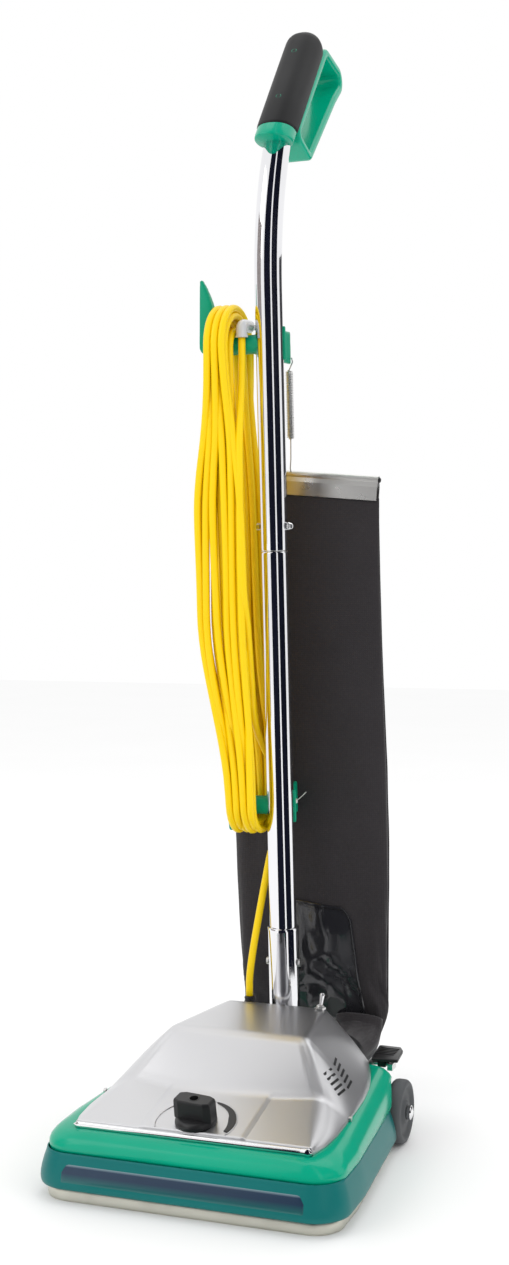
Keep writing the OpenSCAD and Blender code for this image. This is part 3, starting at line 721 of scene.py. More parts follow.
def make_bumper():
    """Bulging bumper with the magnet band that shows in its front."""
    points, faces = path_profile(belt_path(160, 0, 248, 30), [(0.2, 13.2)] + BULGE + [(0.2, 49.8)])
    mesh_piece("bumper_band", points, faces, "base", M["teal"], ("bumper",))
    cols, rows, reach = 96, 14, 131.5
    points = []
    for i in range(cols + 1):
        x = -reach + 2 * reach * i / cols
        turn_down = blend_value(0, 1, (abs(x) - 121) / (reach - 121))
        for j in range(rows + 1):
            v = j / rows
            z = 21 + v * (20 - 9 * turn_down ** 3)
            lift = 0.7 * min(1, 6 * v, 6 * (1 - v), (reach - abs(x)) / 3)
            points.append(at(x, -bulge_at(z) + 0.25 - lift, z))
    faces = []
    for i in range(cols):
        for j in range(rows):
            a = i * (rows + 1) + j
            faces.append((a, a + rows + 1, a + rows + 2, a + 1))
    strip = mesh_piece("magnet_strip", points, faces, "base", M["magnet"], ("magnet_bar",))
    thicken(strip, 1.2)
    rim = [(-1.4, 1.2), (-0.5, 0.2), (0.4, 0.6), (0.8, 2.4), (0.8, 9.5), (0.2, 12.2), (-1.4, 12.6)]
    points, faces = path_profile(belt_path(160, 0, 246, 30), rim)
    mesh_piece("plate_rim", points, faces, "base", M["plate"])


# hood: the line of its foot and of its ridge, as half widths at distances from the front
FOOT = [(24, 130), (46, 136), (75, 139), (141, 139), (180, 137.5), (212, 134), (245, 127), (283, 114),
    (293, 110.5)]
RIDGE = [(24, 129), (49, 125.5), (80, 120), (96, 116), (109, 112.5), (125, 105), (134, 99), (149, 89),
    (163, 79), (293, 60)]
FACE_TOP = 163                                  # the steep face reaches the top here
SHELF_RISE = math.tan(math.radians(12.3))
PANEL, PANEL_RISE = 57, 1.5                     # half width and height of the raised panel on the shelf


def along(table, y):
    for (y0, a), (y1, b) in zip(table, table[1:]):
        if y <= y1:
            return a + (b - a) * (y - y0) / (y1 - y0)
    return table[-1][1]


def soft_max(a, b, r):
    h = max(0.0, min(1.0, 0.5 + 0.5 * (a - b) / r))
    return b + (a - b) * h + r * h * (1 - h)


def crease(x):
    """Where the steep face begins; the line bends back towards the sides."""
    return 104 + 12 * (x / 104) ** 2


def crown(x, y):
    """Height of the hood's upper surface: the shelf, the steep face and the top."""
    shelf = 77 + (y - 24) * SHELF_RISE
    start = crease(x)
    foot = 77 + (start - 24) * SHELF_RISE
    steep = foot + (y - start) * (HOOD_TOP - foot) / (FACE_TOP - start)
    z = -soft_max(-soft_max(shelf, steep, 5), -HOOD_TOP, 6)
    wide = along(RIDGE, y) - 9
    face = blend_value(0, 1, (wide - abs(x)) / 3 + 0.5) * blend_value(0, 1, (y - start) / 4 + 0.5)
    tongue = blend_value(0, 1, (PANEL - abs(x)) / 3 + 0.5) * blend_value(0, 1, (start + 4 - y) / 4)
    return z + PANEL_RISE * max(face, tongue) * blend_value(0, 1, (FACE_TOP - 2 - y) / 6)


def hood_half(y):
    """Half of the hood's section, from its foot over the flank and the ridge to the middle: x and z."""
    foot, ridge = along(FOOT, y), along(RIDGE, y)
    low, high = seat_z(y), crown(ridge, y)
    start, corner = Vector((foot, low + 3)), Vector((ridge, high))
    flank = corner - start
    turn = min(blend_value(11, 7, (y - 105) / 50), 0.6 * flank.length)
    stop = corner - flank.normalized() * turn
    out = Vector((flank.y, -flank.x)).normalized() if flank.length > 1 else Vector((1, 0))
    points = [Vector((foot, low)), Vector((foot + 0.2, low + 1.5))]
    for i in range(13):
        t = i / 12
        points.append(start.lerp(stop, t) + out * (0.025 * flank.length * 4 * t * (1 - t)))
    inner = ridge - turn
    end = Vector((inner, crown(inner, y)))
    for i in range(1, 7):
        t = i / 7
        points.append(stop * (1 - t) ** 2 + corner * (2 * t * (1 - t)) + end * t * t)
    points.append(end)
    wide, tongue = inner - 2, min(PANEL, 0.62 * ridge)
    stations = [wide + 1.2, wide - 1.8,
        wide - 6] + [tongue + 2 + (wide - 8 - tongue) * (6 - i) / 7 for i in range(1, 7)]
    stations += [tongue + 1.5, tongue - 1.5, tongue - 5, tongue * 0.75, tongue * 0.5, tongue * 0.25, 0]
    return points + [Vector((x, crown(x, y))) for x in stations]


def make_hood():
    """Pressed metal hood, lofted through sections from the front to the rear."""
    ys = [24, 24.3, 25, 27, 31, 37, 45, 53, 61, 69, 77, 85, 91, 96] + [100 + 2.5 * i for i in range(10)]
    ys += [126 + 6 * i for i in range(5)] + [154, 157, 160, 163, 166, 169, 173,
        180] + [190 + 12 * i for i in range(8)]
    sections = [(y, 1.0, 0.0) for y in ys]
    sections[0] = (24, 0.55, 0.0)
    sections[1] = (24.3, 0.86, 0.0)
    sections.insert(0, (24, 0.02, 0.0))
    for i in range(1, 7):
        a = math.radians(15 * i)
        sections.append((284.5 + 8 * math.sin(a), 1.0, 8 * (1 - math.cos(a))))
    sections += [(292.8, s, 8) for s in (0.8, 0.55, 0.3, 0.02)]
    rings = []
    for y, scale, drop in sections:
        half = hood_half(y)
        low = seat_z(y)
        ring = []
        for p in half:
            height = (p.y - low) * scale
            height -= drop * min(1, height / 40)
            ring.append(Vector((p.x if drop < 8 or scale == 1 else p.x, y, low + height)))
        rings.append([Vector((-p.x, p.y, p.z)) for p in ring] + ring[-2::-1])
    count = len(rings[0])
    points = [MACHINE @ (p * MM) for ring in rings for p in ring]
    faces = []
    for i in range(len(rings) - 1):
        for k in range(count - 1):
            a = i * count + k
            faces.append((a, a + 1, a + count + 1, a + count))
    hood = mesh_piece("hood_shell", points, faces, "base", M["hood"], ("motor_hood",))
    thicken(hood, 1.2)
    lip = []
    for i in range(61):
        x = -130.5 + 261 * i / 60
        end = math.sqrt(max(0.02, 1 - (max(0, abs(x) - 127.5) / 3.1) ** 2))
        bulb = 1 + 0.35 * math.exp(-((x - 126.5) / 3.0) ** 2)
        lip.append([at(x, 22.2 + 2.5 * end * bulb * math.cos(a), 72.8 + 3.4 * end * bulb * math.sin(a))
            for a in (2 * math.pi * k / 20 for k in range(20))])
    points, faces = rings_mesh(lip)
    mesh_piece("hood_lip", points, faces, "base", M["trim"], ("hood_trim",))
    return hood


def make_vents(hood):
    """Five pairs of slots, pressed into the hood's right flank in a chevron; each slot is a near-black pill, painted
    shade standing in for its opening.
    """
    surface = BVHTree.FromPolygons([v.co for v in hood.data.vertices],
        [tuple(f.vertices) for f in hood.data.polygons])
    for i in range(5):
        upper = ((104 + 4.8 * i, 189 - 2 * i, 120 - 5.2 * i), (109 + 4.8 * i, 168 - 2.6 * i, 118 - 4.8 * i))
        lower = ((110 + 4.5 * i, 160 - 1.5 * i, 118 - 4.5 * i),
            (112 + 4.5 * i, 140 - 1.7 * i, 119 - 4.4 * i))
        for row, (back, front) in enumerate((upper, lower)):
            inward = Vector((-0.85, 0, -0.5)).normalized()
            spots = [surface.ray_cast(at(*spot) - inward * 0.06, inward) for spot in (back, front)]
            a, b = spots[0][0].lerp(spots[1][0], 0.1), spots[1][0].lerp(spots[0][0], 0.1)
            normal = spots[0][1] if spots[0][1].x > 0 else -spots[0][1]
            run = (b - a).normalized()
            side = normal.cross(run).normalized()
            outline = []
            for end, centre in ((1, b), (-1, a)):
                for k in range(9):
                    turn = math.radians(-90 + 22.5 * k)
                    outline.append(centre + (run * end * math.cos(turn) * 0.4 + side * end * math.sin(turn)) * 1.4 * MM)
            rings = [[p + normal * h * MM for p in outline] for h in (-1.0, 0.6)]
            points, faces = rings_mesh(rings)
            # painted shade: the black pill stands in for the dark inside the slot's opening
            mesh_piece("vent_%d_%d" % (row, i), points, faces, "base", M["black"],
                smooth=False)


def make_knob():
    """Height knob: a round skirt with a bar block and a hole in its top, over the printed dial."""
    top = 1.6
    points, faces = lathe([(0.01, top), (21.6, top), (22, top + 1.6), (21.6, 5.4), (20, 7.6), (17.5, 8.6),
        (0.01, 9)], KNOB)
    mesh_piece("knob_skirt", points, faces, "knob", M["black"], ("height_knob",))
    turned = KNOB @ Matrix.Rotation(math.radians(-7), 4, "Z")
    outline = rounded_outline([(-21.5, -7), (-15, -10), (15, -10), (21.5, -7), (21.5, 7), (15, 10),
        (-15, 10), (-21.5, 7)],
        [1.5] * 8, 3, 3)
    rings = [[turned @ (Vector((p.x * s, p.y * s, z)) * MM) for p in outline]
        for s, z in ((1.0, 7), (1.0, 10), (0.99, 24), (0.975, 26), (0.94, 27.4), (0.88, 28))]
    points, faces = rings_mesh(rings)
    mesh_piece("knob_grip", points, faces, "knob", M["black"], smooth=False)
    points, faces = lathe([(3.4, 27.2), (4.3, 27.9), (5.2, 28.3), (5.9, 28.1), (6.1, 27.5)], turned, 36)
    mesh_piece("knob_rim", points, faces, "knob", M["black"])
    points, faces = lathe([(0.01, 28.12), (4.4, 28.12), (4.5, 27.6), (0.01, 27.6)], turned, 32)
    mesh_piece("knob_hole", points, faces, "knob", M["shadow"])
    outer, inner = [], []
    steps = 32
    for i in range(steps + 1):
        t = i / steps
        a = math.radians(-19 + 97 * t)
        width = 5 + 3.4 * math.sin(math.pi * min(1,
            t / 0.8)) if t < 0.4 else 1.2 + 7.2 * ((1 - t) / 0.6) ** 0.8
        outer.append(Vector((41.5 * math.cos(a), 41.5 * math.sin(a), 0)))
        inner.append(Vector(((41.5 - width) * math.cos(a), (41.5 - width) * math.sin(a), 0)))
    ring = outer + inner[::-1]
    rings = [[KNOB @ ((p + Vector((0, 0, z))) * MM) for p in ring] for z in (0.6, top + 0.55)]
    points, faces = rings_mesh(rings)
    mesh_piece("dial_crescent", points, faces, "base", M["black"], ("height_dial",),
        smooth=False)
    circle = []
    for i in range(97):
        a = math.radians(-26 + 232 * i / 96)
        circle.append(KNOB @ (Vector((42.6 * math.cos(a), 42.6 * math.sin(a), top + 0.1)) * MM))
    points, faces = rings_mesh(tube_rings(circle, 0.55 * MM, 8))
    mesh_piece("dial_ring", points, faces, "base", M["hood"])


# ---------- wheels ----------

def make_wheel(side):
    """Rear wheel: rounded tread, recessed dished side with a raised ring."""
    profile = [(4.1, 1), (12, 1), (13.5, 2.2), (26, 2.6), (28, 1.2), (31, 0.2), (33.5, 1.0), (35.4, 3.2),
        (36, 6),
        (36, 12), (35.4, 14.8), (33.5, 17), (31, 17.8), (28, 16.8), (26, 14.2), (13.5, 14.6), (12, 17.4),
        (4.1, 17.4), (4.1, 1)]
    if side < 0:
        profile = [(r, -h) for r, h in profile]
    place = MACHINE @ Matrix.Translation(Vector((side * 140, 288, 36)) * MM)
    points, faces = lathe(profile, place, 72, "X")
    name = "right" if side > 0 else "left"
    wheel = mesh_piece("tyre_" + name, points, faces, "rear_wheel_r" if side > 0 else "rear_wheel_l",
        M["wheel"],
        ("rear_wheel_" + name,))
    cap = [(0.01, 24.4), (3, 24.2), (6, 23.2), (7.6, 21.4), (8, 19.2), (8, 18.4), (0.01, 18.4)]
    cap = [(r, side * h) for r, h in cap]
    points, faces = lathe(cap, MACHINE @ Matrix.Translation(Vector((side * 140, 288, 36)) * MM), 40, "X")
    mesh_piece("axle_dome_" + name, points, faces, "base", M["trim"])
    return wheel


def make_front_wheel(side):
    profile = [(3.1, 0), (8, 0), (9, 1.5), (13, 1.5), (14.6, 0.8), (16, 3), (16, 19), (14.6, 21.2),
        (13, 20.5), (9, 20.5),
        (8, 22), (3.1, 22), (3.1, 0)]
    place = MACHINE @ Matrix.Translation(Vector((36 if side > 0 else -58, 112, 24)) * MM)
    points, faces = lathe(profile, place, 48, "X")
    name = "right" if side > 0 else "left"
    mesh_piece("front_tyre_" + name, points, faces, "front_wheel_r" if side > 0 else "front_wheel_l",
        M["wheel"],
        ("front_wheel_" + name,))


# ---------- pedal, switch, gland ----------

def make_pedal():
    """Handle release pedal beside the hood's rear corner."""
    corners = [(108, 350), (113, 295), (144, 296), (140, 336), (134, 349)]
    outline = rounded_outline(corners, [3, 2, 2, 4, 4], 5, 4)
    rings = [[at(p.x * s + 125 * (1 - s), p.y * s + 322 * (1 - s), z) for p in outline]
        for s, z in ((0.94, 88), (0.985, 88.4), (1.0, 89.4), (1.0, 91), (0.985, 91.8), (0.94, 92))]
    points, faces = rings_mesh(rings)
    mesh_piece("pedal_plate", points, faces, "pedal", M["black"], ("release_pedal",))
    for i in range(5):
        block("pedal_rib_%d" % i, "pedal", M["black"], (124, 314 + i * 6, 92.2),
            (22, 2, 1.2), 0.4)
    block("pedal_lug", "pedal", M["black"], (123, 309, 84), (10, 12, 9), 1.2)


def make_switch():
    """Toggle switch: threaded collar, hexagon nut and bat lever."""
    place = MACHINE @ Matrix.Translation(Vector(SWITCH) * MM)
    profile = [(3.4, 8), (4.2, 8), (4.8, 9), (4.4, 9.8), (4.8, 10.4), (4.4, 13), (4.8, 13.5), (4.4, 14.2),
        (4.2, 15), (3.6, 15), (3.4, 8)]
    points, faces = lathe(profile, place, 40)
    mesh_piece("switch_collar", points, faces, "base", M["zinc"], ("switch_bushing",))
    nut = [Vector((6.6 * math.cos(math.radians(60 * k + 10)), 6.6 * math.sin(math.radians(60 * k + 10)),
        0)) for k in range(6)]
    rings = [[place @ ((n * s + Vector((0, 0, z))) * MM) for n in nut] for s,
        z in ((0.93, 10.1), (1, 10.6), (1, 12.4), (0.93, 12.8))]
    points, faces = rings_mesh(rings)
    mesh_piece("switch_nut", points, faces, "base", M["zinc"], smooth=False)
    bat = place @ Matrix.Translation((0, 0, 9 * MM)) @ Matrix.Rotation(math.radians(8), 4, "Y")
    profile = [(0.01, -1), (1.5, 0), (1.7, 3), (2.1, 10), (2.6, 16)]
    profile += [(2.8 * math.cos(math.radians(a)), 18 + 2.8 * math.sin(math.radians(a))) for a in range(0,
        91, 15)]
    points, faces = lathe(profile, bat, 32)
    mesh_piece("toggle_bat", points, faces, "toggle", M["trim"], ("toggle_lever",))


def make_gland():
    """Angled strain relief with collars, turned upwards behind the hood."""
    path = spline([at(-38, 279, 127), at(-38, 290, 127), at(-38, 298, 129), at(-38, 301, 136),
        at(-38, 301, 149)], 8)

    def radius(s):
        collar = 0.7 * (math.sin(s * 60) > 0.2) if s > 0.55 else 0
        return (8 - 2.6 * max(0, s - 0.45) / 0.55 + collar) * MM
    points, faces = rings_mesh(tube_rings(path, radius, 28))
    mesh_piece("cord_gland", points, faces, "base", M["black"], ("strain_relief",))


# ---------- handle ----------

def make_tubes():
    wall = TUBE_R * MM
    low = [HANDLE @ (Vector((0, 0, z)) * MM) for z in (30, 31, 200, 400, 598, 600.2)]
    points, faces = rings_mesh(tube_rings(low, lambda s: wall * (0.985 if s == 1 else 1), 64))
    mesh_piece("tube_low", points, faces, "handle", M["chrome"], ("lower_tube",))
    heights = (601.4, 602.4, 700, 800, BEND_START)
    high = [Vector((0, 0, z)) for z in heights]
    last = BEND_END - math.radians(7)
    for i in range(1, 25):
        a = last * i / 24
        high.append(Vector((0, BEND_R * (1 - math.cos(a)), BEND_START + BEND_R * math.sin(a))))
    rings = tube_rings([HANDLE @ (p * MM) for p in high], lambda s: wall * (0.985 if s == 0 else 1), 64)
    points, faces = rings_mesh(rings)
    mesh_piece("tube_high", points, faces, "handle", M["chrome"], ("upper_tube",))
    ring = [(15.2, 599.6), (15.6, 600.2), (15.6, 601.6), (15.2, 602.2)]
    points, faces = lathe(ring, HANDLE, 64)
    mesh_piece("joint_seam", points, faces, "handle", M["zinc"])
    profile = [(16.0, 158), (17.4, 158.3), (18.3, 157.4), (18.4, 155.5), (18.1, 153.6), (18.1, 60),
        (18.3, 40), (19.4, 26),
        (19.2, 14), (16, 10), (0.01, 10)]
    points, faces = lathe(profile, HANDLE, 72)
    mesh_piece("socket_shell", points, faces, "handle", M["chrome"], ("handle_socket",))
    barrel = [(5.1, -27), (12, -27), (13, -26), (13, 26), (12, 27), (5.1, 27), (5.1, -27)]
    points, faces = lathe(barrel, HANDLE, 48, "X")
    mesh_piece("socket_barrel", points, faces, "handle", M["trim"])
    nut = [(2.6, TUBE_R + 0.1), (4.6, TUBE_R + 0.1),
        (4.7, TUBE_R + 3.6)] + [(4.2 * math.cos(math.radians(a)),
        TUBE_R + 4 + 4.2 * math.sin(math.radians(a))) for a in range(0, 91, 18)]
    points, faces = lathe(nut, HANDLE @ Matrix.Translation((0, 0, 629 * MM)), 32, "X")
    mesh_piece("acorn_nut", points, faces, "handle", M["trim"], ("tube_nut",))


def make_hook(name, height, reach, horn, fin, node):
    """Moulded hook: saddle on the tube, round arm, horn and rear fin melted into one shape."""
    place = HANDLE @ Matrix.Translation((0, 0, height * MM))
    bm = bmesh.new()

    def rod(x0, x1, r, y=0.0, z=0.0):
        m = place @ Matrix.Translation(Vector(((x0 + x1) / 2, y, z)) * MM) @ Matrix.Rotation(math.pi / 2, 4,
            "Y")
        bmesh.ops.create_cone(bm, cap_ends=True, segments=40, radius1=r * MM, radius2=r * MM,
            depth=abs(x1 - x0) * MM, matrix=m)

    def slab(x0, x1, y0, y1, z0, z1):
        m = place @ Matrix.Translation(Vector(((x0 + x1) / 2, (y0 + y1) / 2, (z0 + z1) / 2)) * MM)
        bmesh.ops.create_cube(bm, size=1.0, matrix=m @ Matrix.Diagonal(Vector((x1 - x0, y1 - y0, z1 - z0,
            1)) * MM + Vector((0, 0, 0, 1 - MM))))
    saddle = []
    for z in (-19.5, 19.5):
        outer = [(18.6 * math.cos(math.radians(a)), 18.6 * math.sin(math.radians(a)), z) for a in range(8,
            173, 6)]
        saddle.append([place @ (Vector(q) * MM) for q in outer + [(x * 0.8, y * 0.8, z) for x, y,
            z in outer[::-1]]])
    points, faces = rings_mesh(saddle)
    corners = [bm.verts.new(q) for q in points]
    for face in faces:
        bm.faces.new([corners[k] for k in face])
    rod(-reach + 10, -4, 11)
    steps = 16
    for i in range(steps):
        s = i / steps
        z = horn * s
        r = 10.4 - 9.3 * s ** 2.4
        x = -reach - 0.4 + r
        depth = 20 * (1 - s) + 6 * s
        m = place @ Matrix.Translation(Vector((x, 0, z)) * MM) @ Matrix.Rotation(math.pi / 2, 4, "X")
        bmesh.ops.create_cone(bm, cap_ends=True, segments=24, radius1=r * MM, radius2=r * MM,
            depth=depth * MM, matrix=m)
    slab(-2.6, 2.6, 10, fin, -19, 19)
    piece = bm_piece(name, bm, "handle", M["hook"], (node,))
    mould(piece, 1.5, 8)


def make_cable_tie():
    place = HANDLE @ Matrix.Translation((0, 0, HOOK_LOW * MM))
    outline = rounded_outline([(-15.4, 24.6), (4.9, 24.6), (4.9, 38.4), (-15.4, 38.4)], [5, 3, 3, 5], 8, 4)
    rings = []
    count = len(outline)
    for i, p in enumerate(outline):
        t = (outline[(i + 1) % count] - outline[i - 1]).normalized()
        out = Vector((t.y, -t.x))
        rings.append([place @ (Vector((p.x + out.x * a, p.y + out.y * a, z)) * MM) for a,
            z in ((0, -2), (0.9, -2), (0.9, 2), (0, 2))])
    points, faces = rings_mesh(rings, wrap=True)
    mesh_piece("tie_strap", points, faces, "handle", M["nylon"], ("cable_tie",),
        smooth=False)
    head = bmesh.new()
    bmesh.ops.create_cube(head, size=1.0)
    for v in head.verts:
        v.co = place @ (Vector((8 + v.co.x * 5, 31 + v.co.y * 6, v.co.z * 5)) * MM)
    soften(bm_piece("tie_head", head, "handle", M["nylon"]), 0.7, 2)
    tail = [Vector((10 + 1.3 * i, 31, 0.5 + 1.0 * i + 0.02 * i * i)) for i in range(10)]
    rings = [[place @ ((p + Vector((a, b, 0))) * MM) for a,
        b in ((-0.6, -1.8), (0.6, -1.8), (0.6, 1.8), (-0.6, 1.8))] for p in tail]
    points, faces = rings_mesh(rings)
    mesh_piece("tie_tail", points, faces, "handle", M["nylon"], smooth=False)


# ---------- grip ----------

def grip_section(half, front, back, steps=36):
    """D-shaped section of the grip: round in front, flatter behind; x and depth."""
    out = []
    for k in range(steps):
        a = 2 * math.pi * k / steps
        x = half * math.copysign(abs(math.cos(a)) ** 0.9, math.cos(a))
        y = (back if math.sin(a) > 0 else front) * math.copysign(abs(math.sin(a)) ** 0.9, math.sin(a))
        out.append((x, y))
    return out


def slant(y, z):
    """Height on the grip; its foot is slanted, lower in front, and the slant dies out upwards."""
    return z + y * GRIP_CUT * blend_value(1, 0, (z + 74) / 74)


def make_grip():
    rings = []
    stations = [(-93.5, 0.93), (-93, 0.96), (-91, 0.985), (-86, 1), (-76, 1), (-74, 1), (0, 1), (60, 1),
        (84, 1)]
    for z, s in stations:
        rings.append([GRIP @ (Vector((x * s, y * s, slant(y, z))) * MM) for x,
            y in grip_section(GRIP_HALF, GRIP_HALF, GRIP_HALF - 1)])
    for i in range(1, 10):
        a = math.radians(10 * i)
        s = math.cos(a)
        rings.append([GRIP @ (Vector((x * max(s, 0.02), y * max(s, 0.02) + 5 * (1 - s),
            84 + GRIP_HALF * math.sin(a))) * MM)
            for x, y in grip_section(GRIP_HALF, GRIP_HALF, GRIP_HALF - 1)])
    points, faces = rings_mesh(rings)
    leg = mesh_piece("grip_leg", points, faces, "handle", M["green"], ("grip_body",))
    centre = loop_path()
    count = len(centre)
    rings = []
    for i, p in enumerate(centre):
        t = (centre[(i + 1) % count] - centre[i - 1]).normalized()
        out = Vector((t.y, -t.x))
        ring = []
        for x, d in loop_section():
            q = p + out * d
            ring.append(GRIP @ (Vector((x, q.x, q.y)) * MM))
        rings.append(ring)
    points, faces = rings_mesh(rings, wrap=True)
    mesh_piece("grip_loop", points, faces, "handle", M["green"])
    make_grip_pad()
    return leg


def loop_section():
    """Section of the loop's band: width across the grip, thickness through the band."""
    half, thick, r = GRIP_HALF, 5.6, 4.2
    out = []
    for cx, cy, a0 in ((half - r, -thick + r, -90), (half - r, thick - r, 0), (-half + r, thick - r, 90),
        (-half + r, -thick + r, 180)):
        out += arc(cx, cy, r, a0, a0 + 90, 5)
    return out


def loop_path():
    """Middle line of the loop's band in the grip's side plane, anticlockwise from the foot."""
    corners = [(12, -66), (57, -48), (73, 88), (85, 145), (16, 103)]
    outline = rounded_outline([Vector(c) for c in corners], [9, 9, 30, 13, 12], 12, 16)
    return outline


def make_grip_pad():
    """Soft overmould on the front of the grip with a rolled edge."""
    rings = []
    stations = [(-75, 0.965), (-74.6, 1.0), (-73.4, 1.03), (-70, 1.045), (0, 1.05), (70, 1.045), (84, 1.04)]
    tops = [(84 + (GRIP_HALF + 1.2) * math.sin(math.radians(a)), 1.04 * math.cos(math.radians(a)),
        5 * (1 - math.cos(math.radians(a)))) for a in range(10, 81, 10)]
    stations = [(z, s, 0.0) for z, s in stations] + tops
    for z, s, back in stations:
        ring = []
        steps = 28
        for k in range(steps + 1):
            a = math.radians(180 - 22 + (180 + 44) * k / steps)
            x = GRIP_HALF * math.copysign(abs(math.cos(a)) ** 0.9, math.cos(a))
            y = (GRIP_HALF - 1 if math.sin(a) > 0 else GRIP_HALF) * math.copysign(abs(math.sin(a)) ** 0.9,
                math.sin(a))
            ring.append((x * s, y * s + back))
        inner = [(x * 0.93, y * 0.93) for x, y in ring[::-1]]
        rings.append([GRIP @ (Vector((x, y, slant(y, z))) * MM) for x, y in ring + inner])
    points, faces = rings_mesh(rings)
    mesh_piece("grip_cover", points, faces, "handle", M["pad"], ("grip_pad",))
    for i, z in enumerate((-38, 52)):
        place = GRIP @ Matrix.Translation(Vector((0, 0.1 - GRIP_HALF,
            z)) * MM) @ Matrix.Rotation(math.pi / 2, 4, "X")
        points, faces = lathe([(0.01, 0.2), (1.6, 0.35), (2.5, 0.9), (3.0, 1.15), (3.4, 0.8), (3.5, -1)],
            place, 28)
        mesh_piece("grip_plug_%d" % i, points, faces, "handle", M["hook"],
            ("grip_screws",) if i == 0 else ())


# ---------- dust bag ----------

CLIP_Z, CLIP_X, BAG_W, BAG_BACK = 673, 8, 196, 70
CLIP_ROLL = math.radians(5.2)                   # the clip hangs lower on its right
CLIP = HANDLE @ Matrix.Translation(Vector((1, BAG_BACK, CLIP_Z)) * MM) @ Matrix.Rotation(CLIP_ROLL, 4,
    "Y") \
    @ Matrix.Translation(Vector((CLIP_X - 1, 0, 0)) * MM)
BAG_TOP, BAG_FOOT = 669, 10


def bag_back(s):
    """How far the middle of the bag lies behind the handle's line at a share of its drop."""
    return BAG_BACK + 10 * min(1, s / 0.486)


def bag_section(s):
    """Half thickness, left and right edge of the bag at a share of its drop, 0 at the clip and 1 at the foot."""
    half = 3 + 12 * (1 - (1 - min(1, s / 0.75)) ** 2)
    if s > 0.93:
        half *= 1 - 0.6 * (s - 0.93) / 0.07
    pull = 2.5 * math.sin(math.pi * min(1, s / 0.5))
    left = CLIP_X - BAG_W / 2 + 1 + 10 * s + pull
    right = CLIP_X + BAG_W / 2 + 6 * s - 9 * s ** 3 - pull * (1 - s) - 9 * max(0, (s - 0.95) / 0.05) ** 1.5
    return half, left, right


def cloth_fold(x, s, rear):
    """How far folds push the cloth along the bag's depth: soft drapes, and pleats that gather at the foot."""
    low = min(1, s * 2.2)
    drape = 2.0 * math.sin(x * 0.05 + s * 3.5) * s + 1.1 * math.sin(x * 0.115 - s * 8) * s
    broad = noise.noise(Vector((x * 0.017, s * 4.5, 3.1))) * 5.5 * low
    fine = noise.noise(Vector((x * 0.05 + s * 2, s * 14, 7.7 + rear))) * 1.6 * low
    creases = -1.8 * math.exp(-((x - 98 + 46 * (1 - s) / 0.35) / 5) ** 2) * max(0, (s - 0.65) / 0.35)
    creases -= 1.6 * math.exp(-((x - 60 - 60 * (1 - s) / 0.25) / 6) ** 2) * max(0, (s - 0.75) / 0.25)
    foot = max(0, (s - 0.84) / 0.16)
    pleats = 2.6 * foot * math.sin(x * 0.16 + 2 * s) + 1.2 * foot * math.sin(x * 0.37 + 9 * s)
    top_hem = 0.9 * math.exp(-((s - 0.035) / 0.006) ** 2)
    return (drape + broad) * (1 - 0.45 * foot) + fine + creases + pleats - top_hem * (1 if not rear else -1)


def bag_height(x, s):
    """Height on the bag at a share of its drop; its top follows the tilted clip."""
    return BAG_TOP + (BAG_FOOT - BAG_TOP) * s - (x - 1) * math.tan(CLIP_ROLL) * (1 - s) ** 2


def bag_skin(x, s, side):
    """Point of the bag's cloth: side is -1 on the front and 1 on the rear."""
    half, left, right = bag_section(s)
    c = max(-1, min(1, (x - (left + right) / 2) / ((right - left) / 2)))
    a = math.acos(max(-1, min(1, math.copysign(abs(c) ** (1 / 0.55), c))))
    return Vector((x, bag_back(s) + side * half * abs(math.sin(a)) ** 0.9 + cloth_fold(x, s, side > 0),
        bag_height(x, s)))


def make_bag():
    """Cloth bag that hangs from the clip: a sagging tube of cloth, settled by a cloth simulation."""
    rows, half_cols = 96, 46
    rings = []
    for i in range(rows + 1):
        s = i / rows
        half, left, right = bag_section(s)
        ring = []
        for k in range(2 * half_cols):
            a = 2 * math.pi * k / (2 * half_cols)
            cx = math.copysign(abs(math.cos(a)) ** 0.55, math.cos(a))
            ring.append(bag_skin((left + right) / 2 + (right - left) / 2 * cx, s,
                1 if math.sin(a) > 0 else -1))
        rings.append(ring)
    points, faces = rings_mesh([[HANDLE @ (p * MM) for p in ring] for ring in rings], close_ends=False)
    bag = mesh_piece("bag_shell", points, faces, "handle", M["cloth"], ("bag",), ride=False)
    settle(bag)
    thicken(bag, 1.2)
    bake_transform(bag)
    for side in (-1, 1):
        edge = []
        for i in range(61):
            s = 0.01 + 0.95 * i / 60
            half, left, right = bag_section(s)
            x = (right if side > 0 else left) - side * 0.4
            edge.append(HANDLE @ (Vector((x, bag_back(s) + cloth_fold(x, s, False),
                bag_height(x, s))) * MM))
        points, faces = rings_mesh(tube_rings(edge, 1.3 * MM, 10))
        seam = mesh_piece("bag_seam_" + ("r" if side > 0 else "l"), points, faces, "handle", M["cloth"],
            ride=False)
        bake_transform(seam)
    return bag


def settle(piece):
    """Lets the cloth sag a little under its own weight, with its top and foot held, and no point moving far."""
    start = [v.co.copy() for v in piece.data.vertices]
    pins = piece.vertex_groups.new(name="pins")
    down = HANDLE.inverted()
    for v in piece.data.vertices:
        height = (down @ v.co).z / MM
        edge = min(BAG_TOP - height, height - BAG_FOOT)
        pins.add([v.index], max(0.0, min(1.0, 1 - edge / 60)) if edge < 60 else 0.0, "REPLACE")
    cloth = piece.modifiers.new("settle", "CLOTH")
    cloth.settings.quality = 5
    cloth.settings.mass = 0.25
    cloth.settings.tension_stiffness = 40
    cloth.settings.compression_stiffness = 40
    cloth.settings.bending_stiffness = 0.6
    cloth.settings.vertex_group_mass = "pins"
    cloth.settings.use_pressure = True
    cloth.settings.uniform_pressure_force = 0.4
    cloth.collision_settings.use_collision = False
    scene = bpy.context.scene
    for step in range(1, 16):
        scene.frame_set(step)
    apply_modifiers(piece)
    for v, old in zip(piece.data.vertices, start):
        move = v.co - old
        v.co = old + move * min(1, 0.005 / max(move.length, 1e-9))
    scene.frame_set(1)


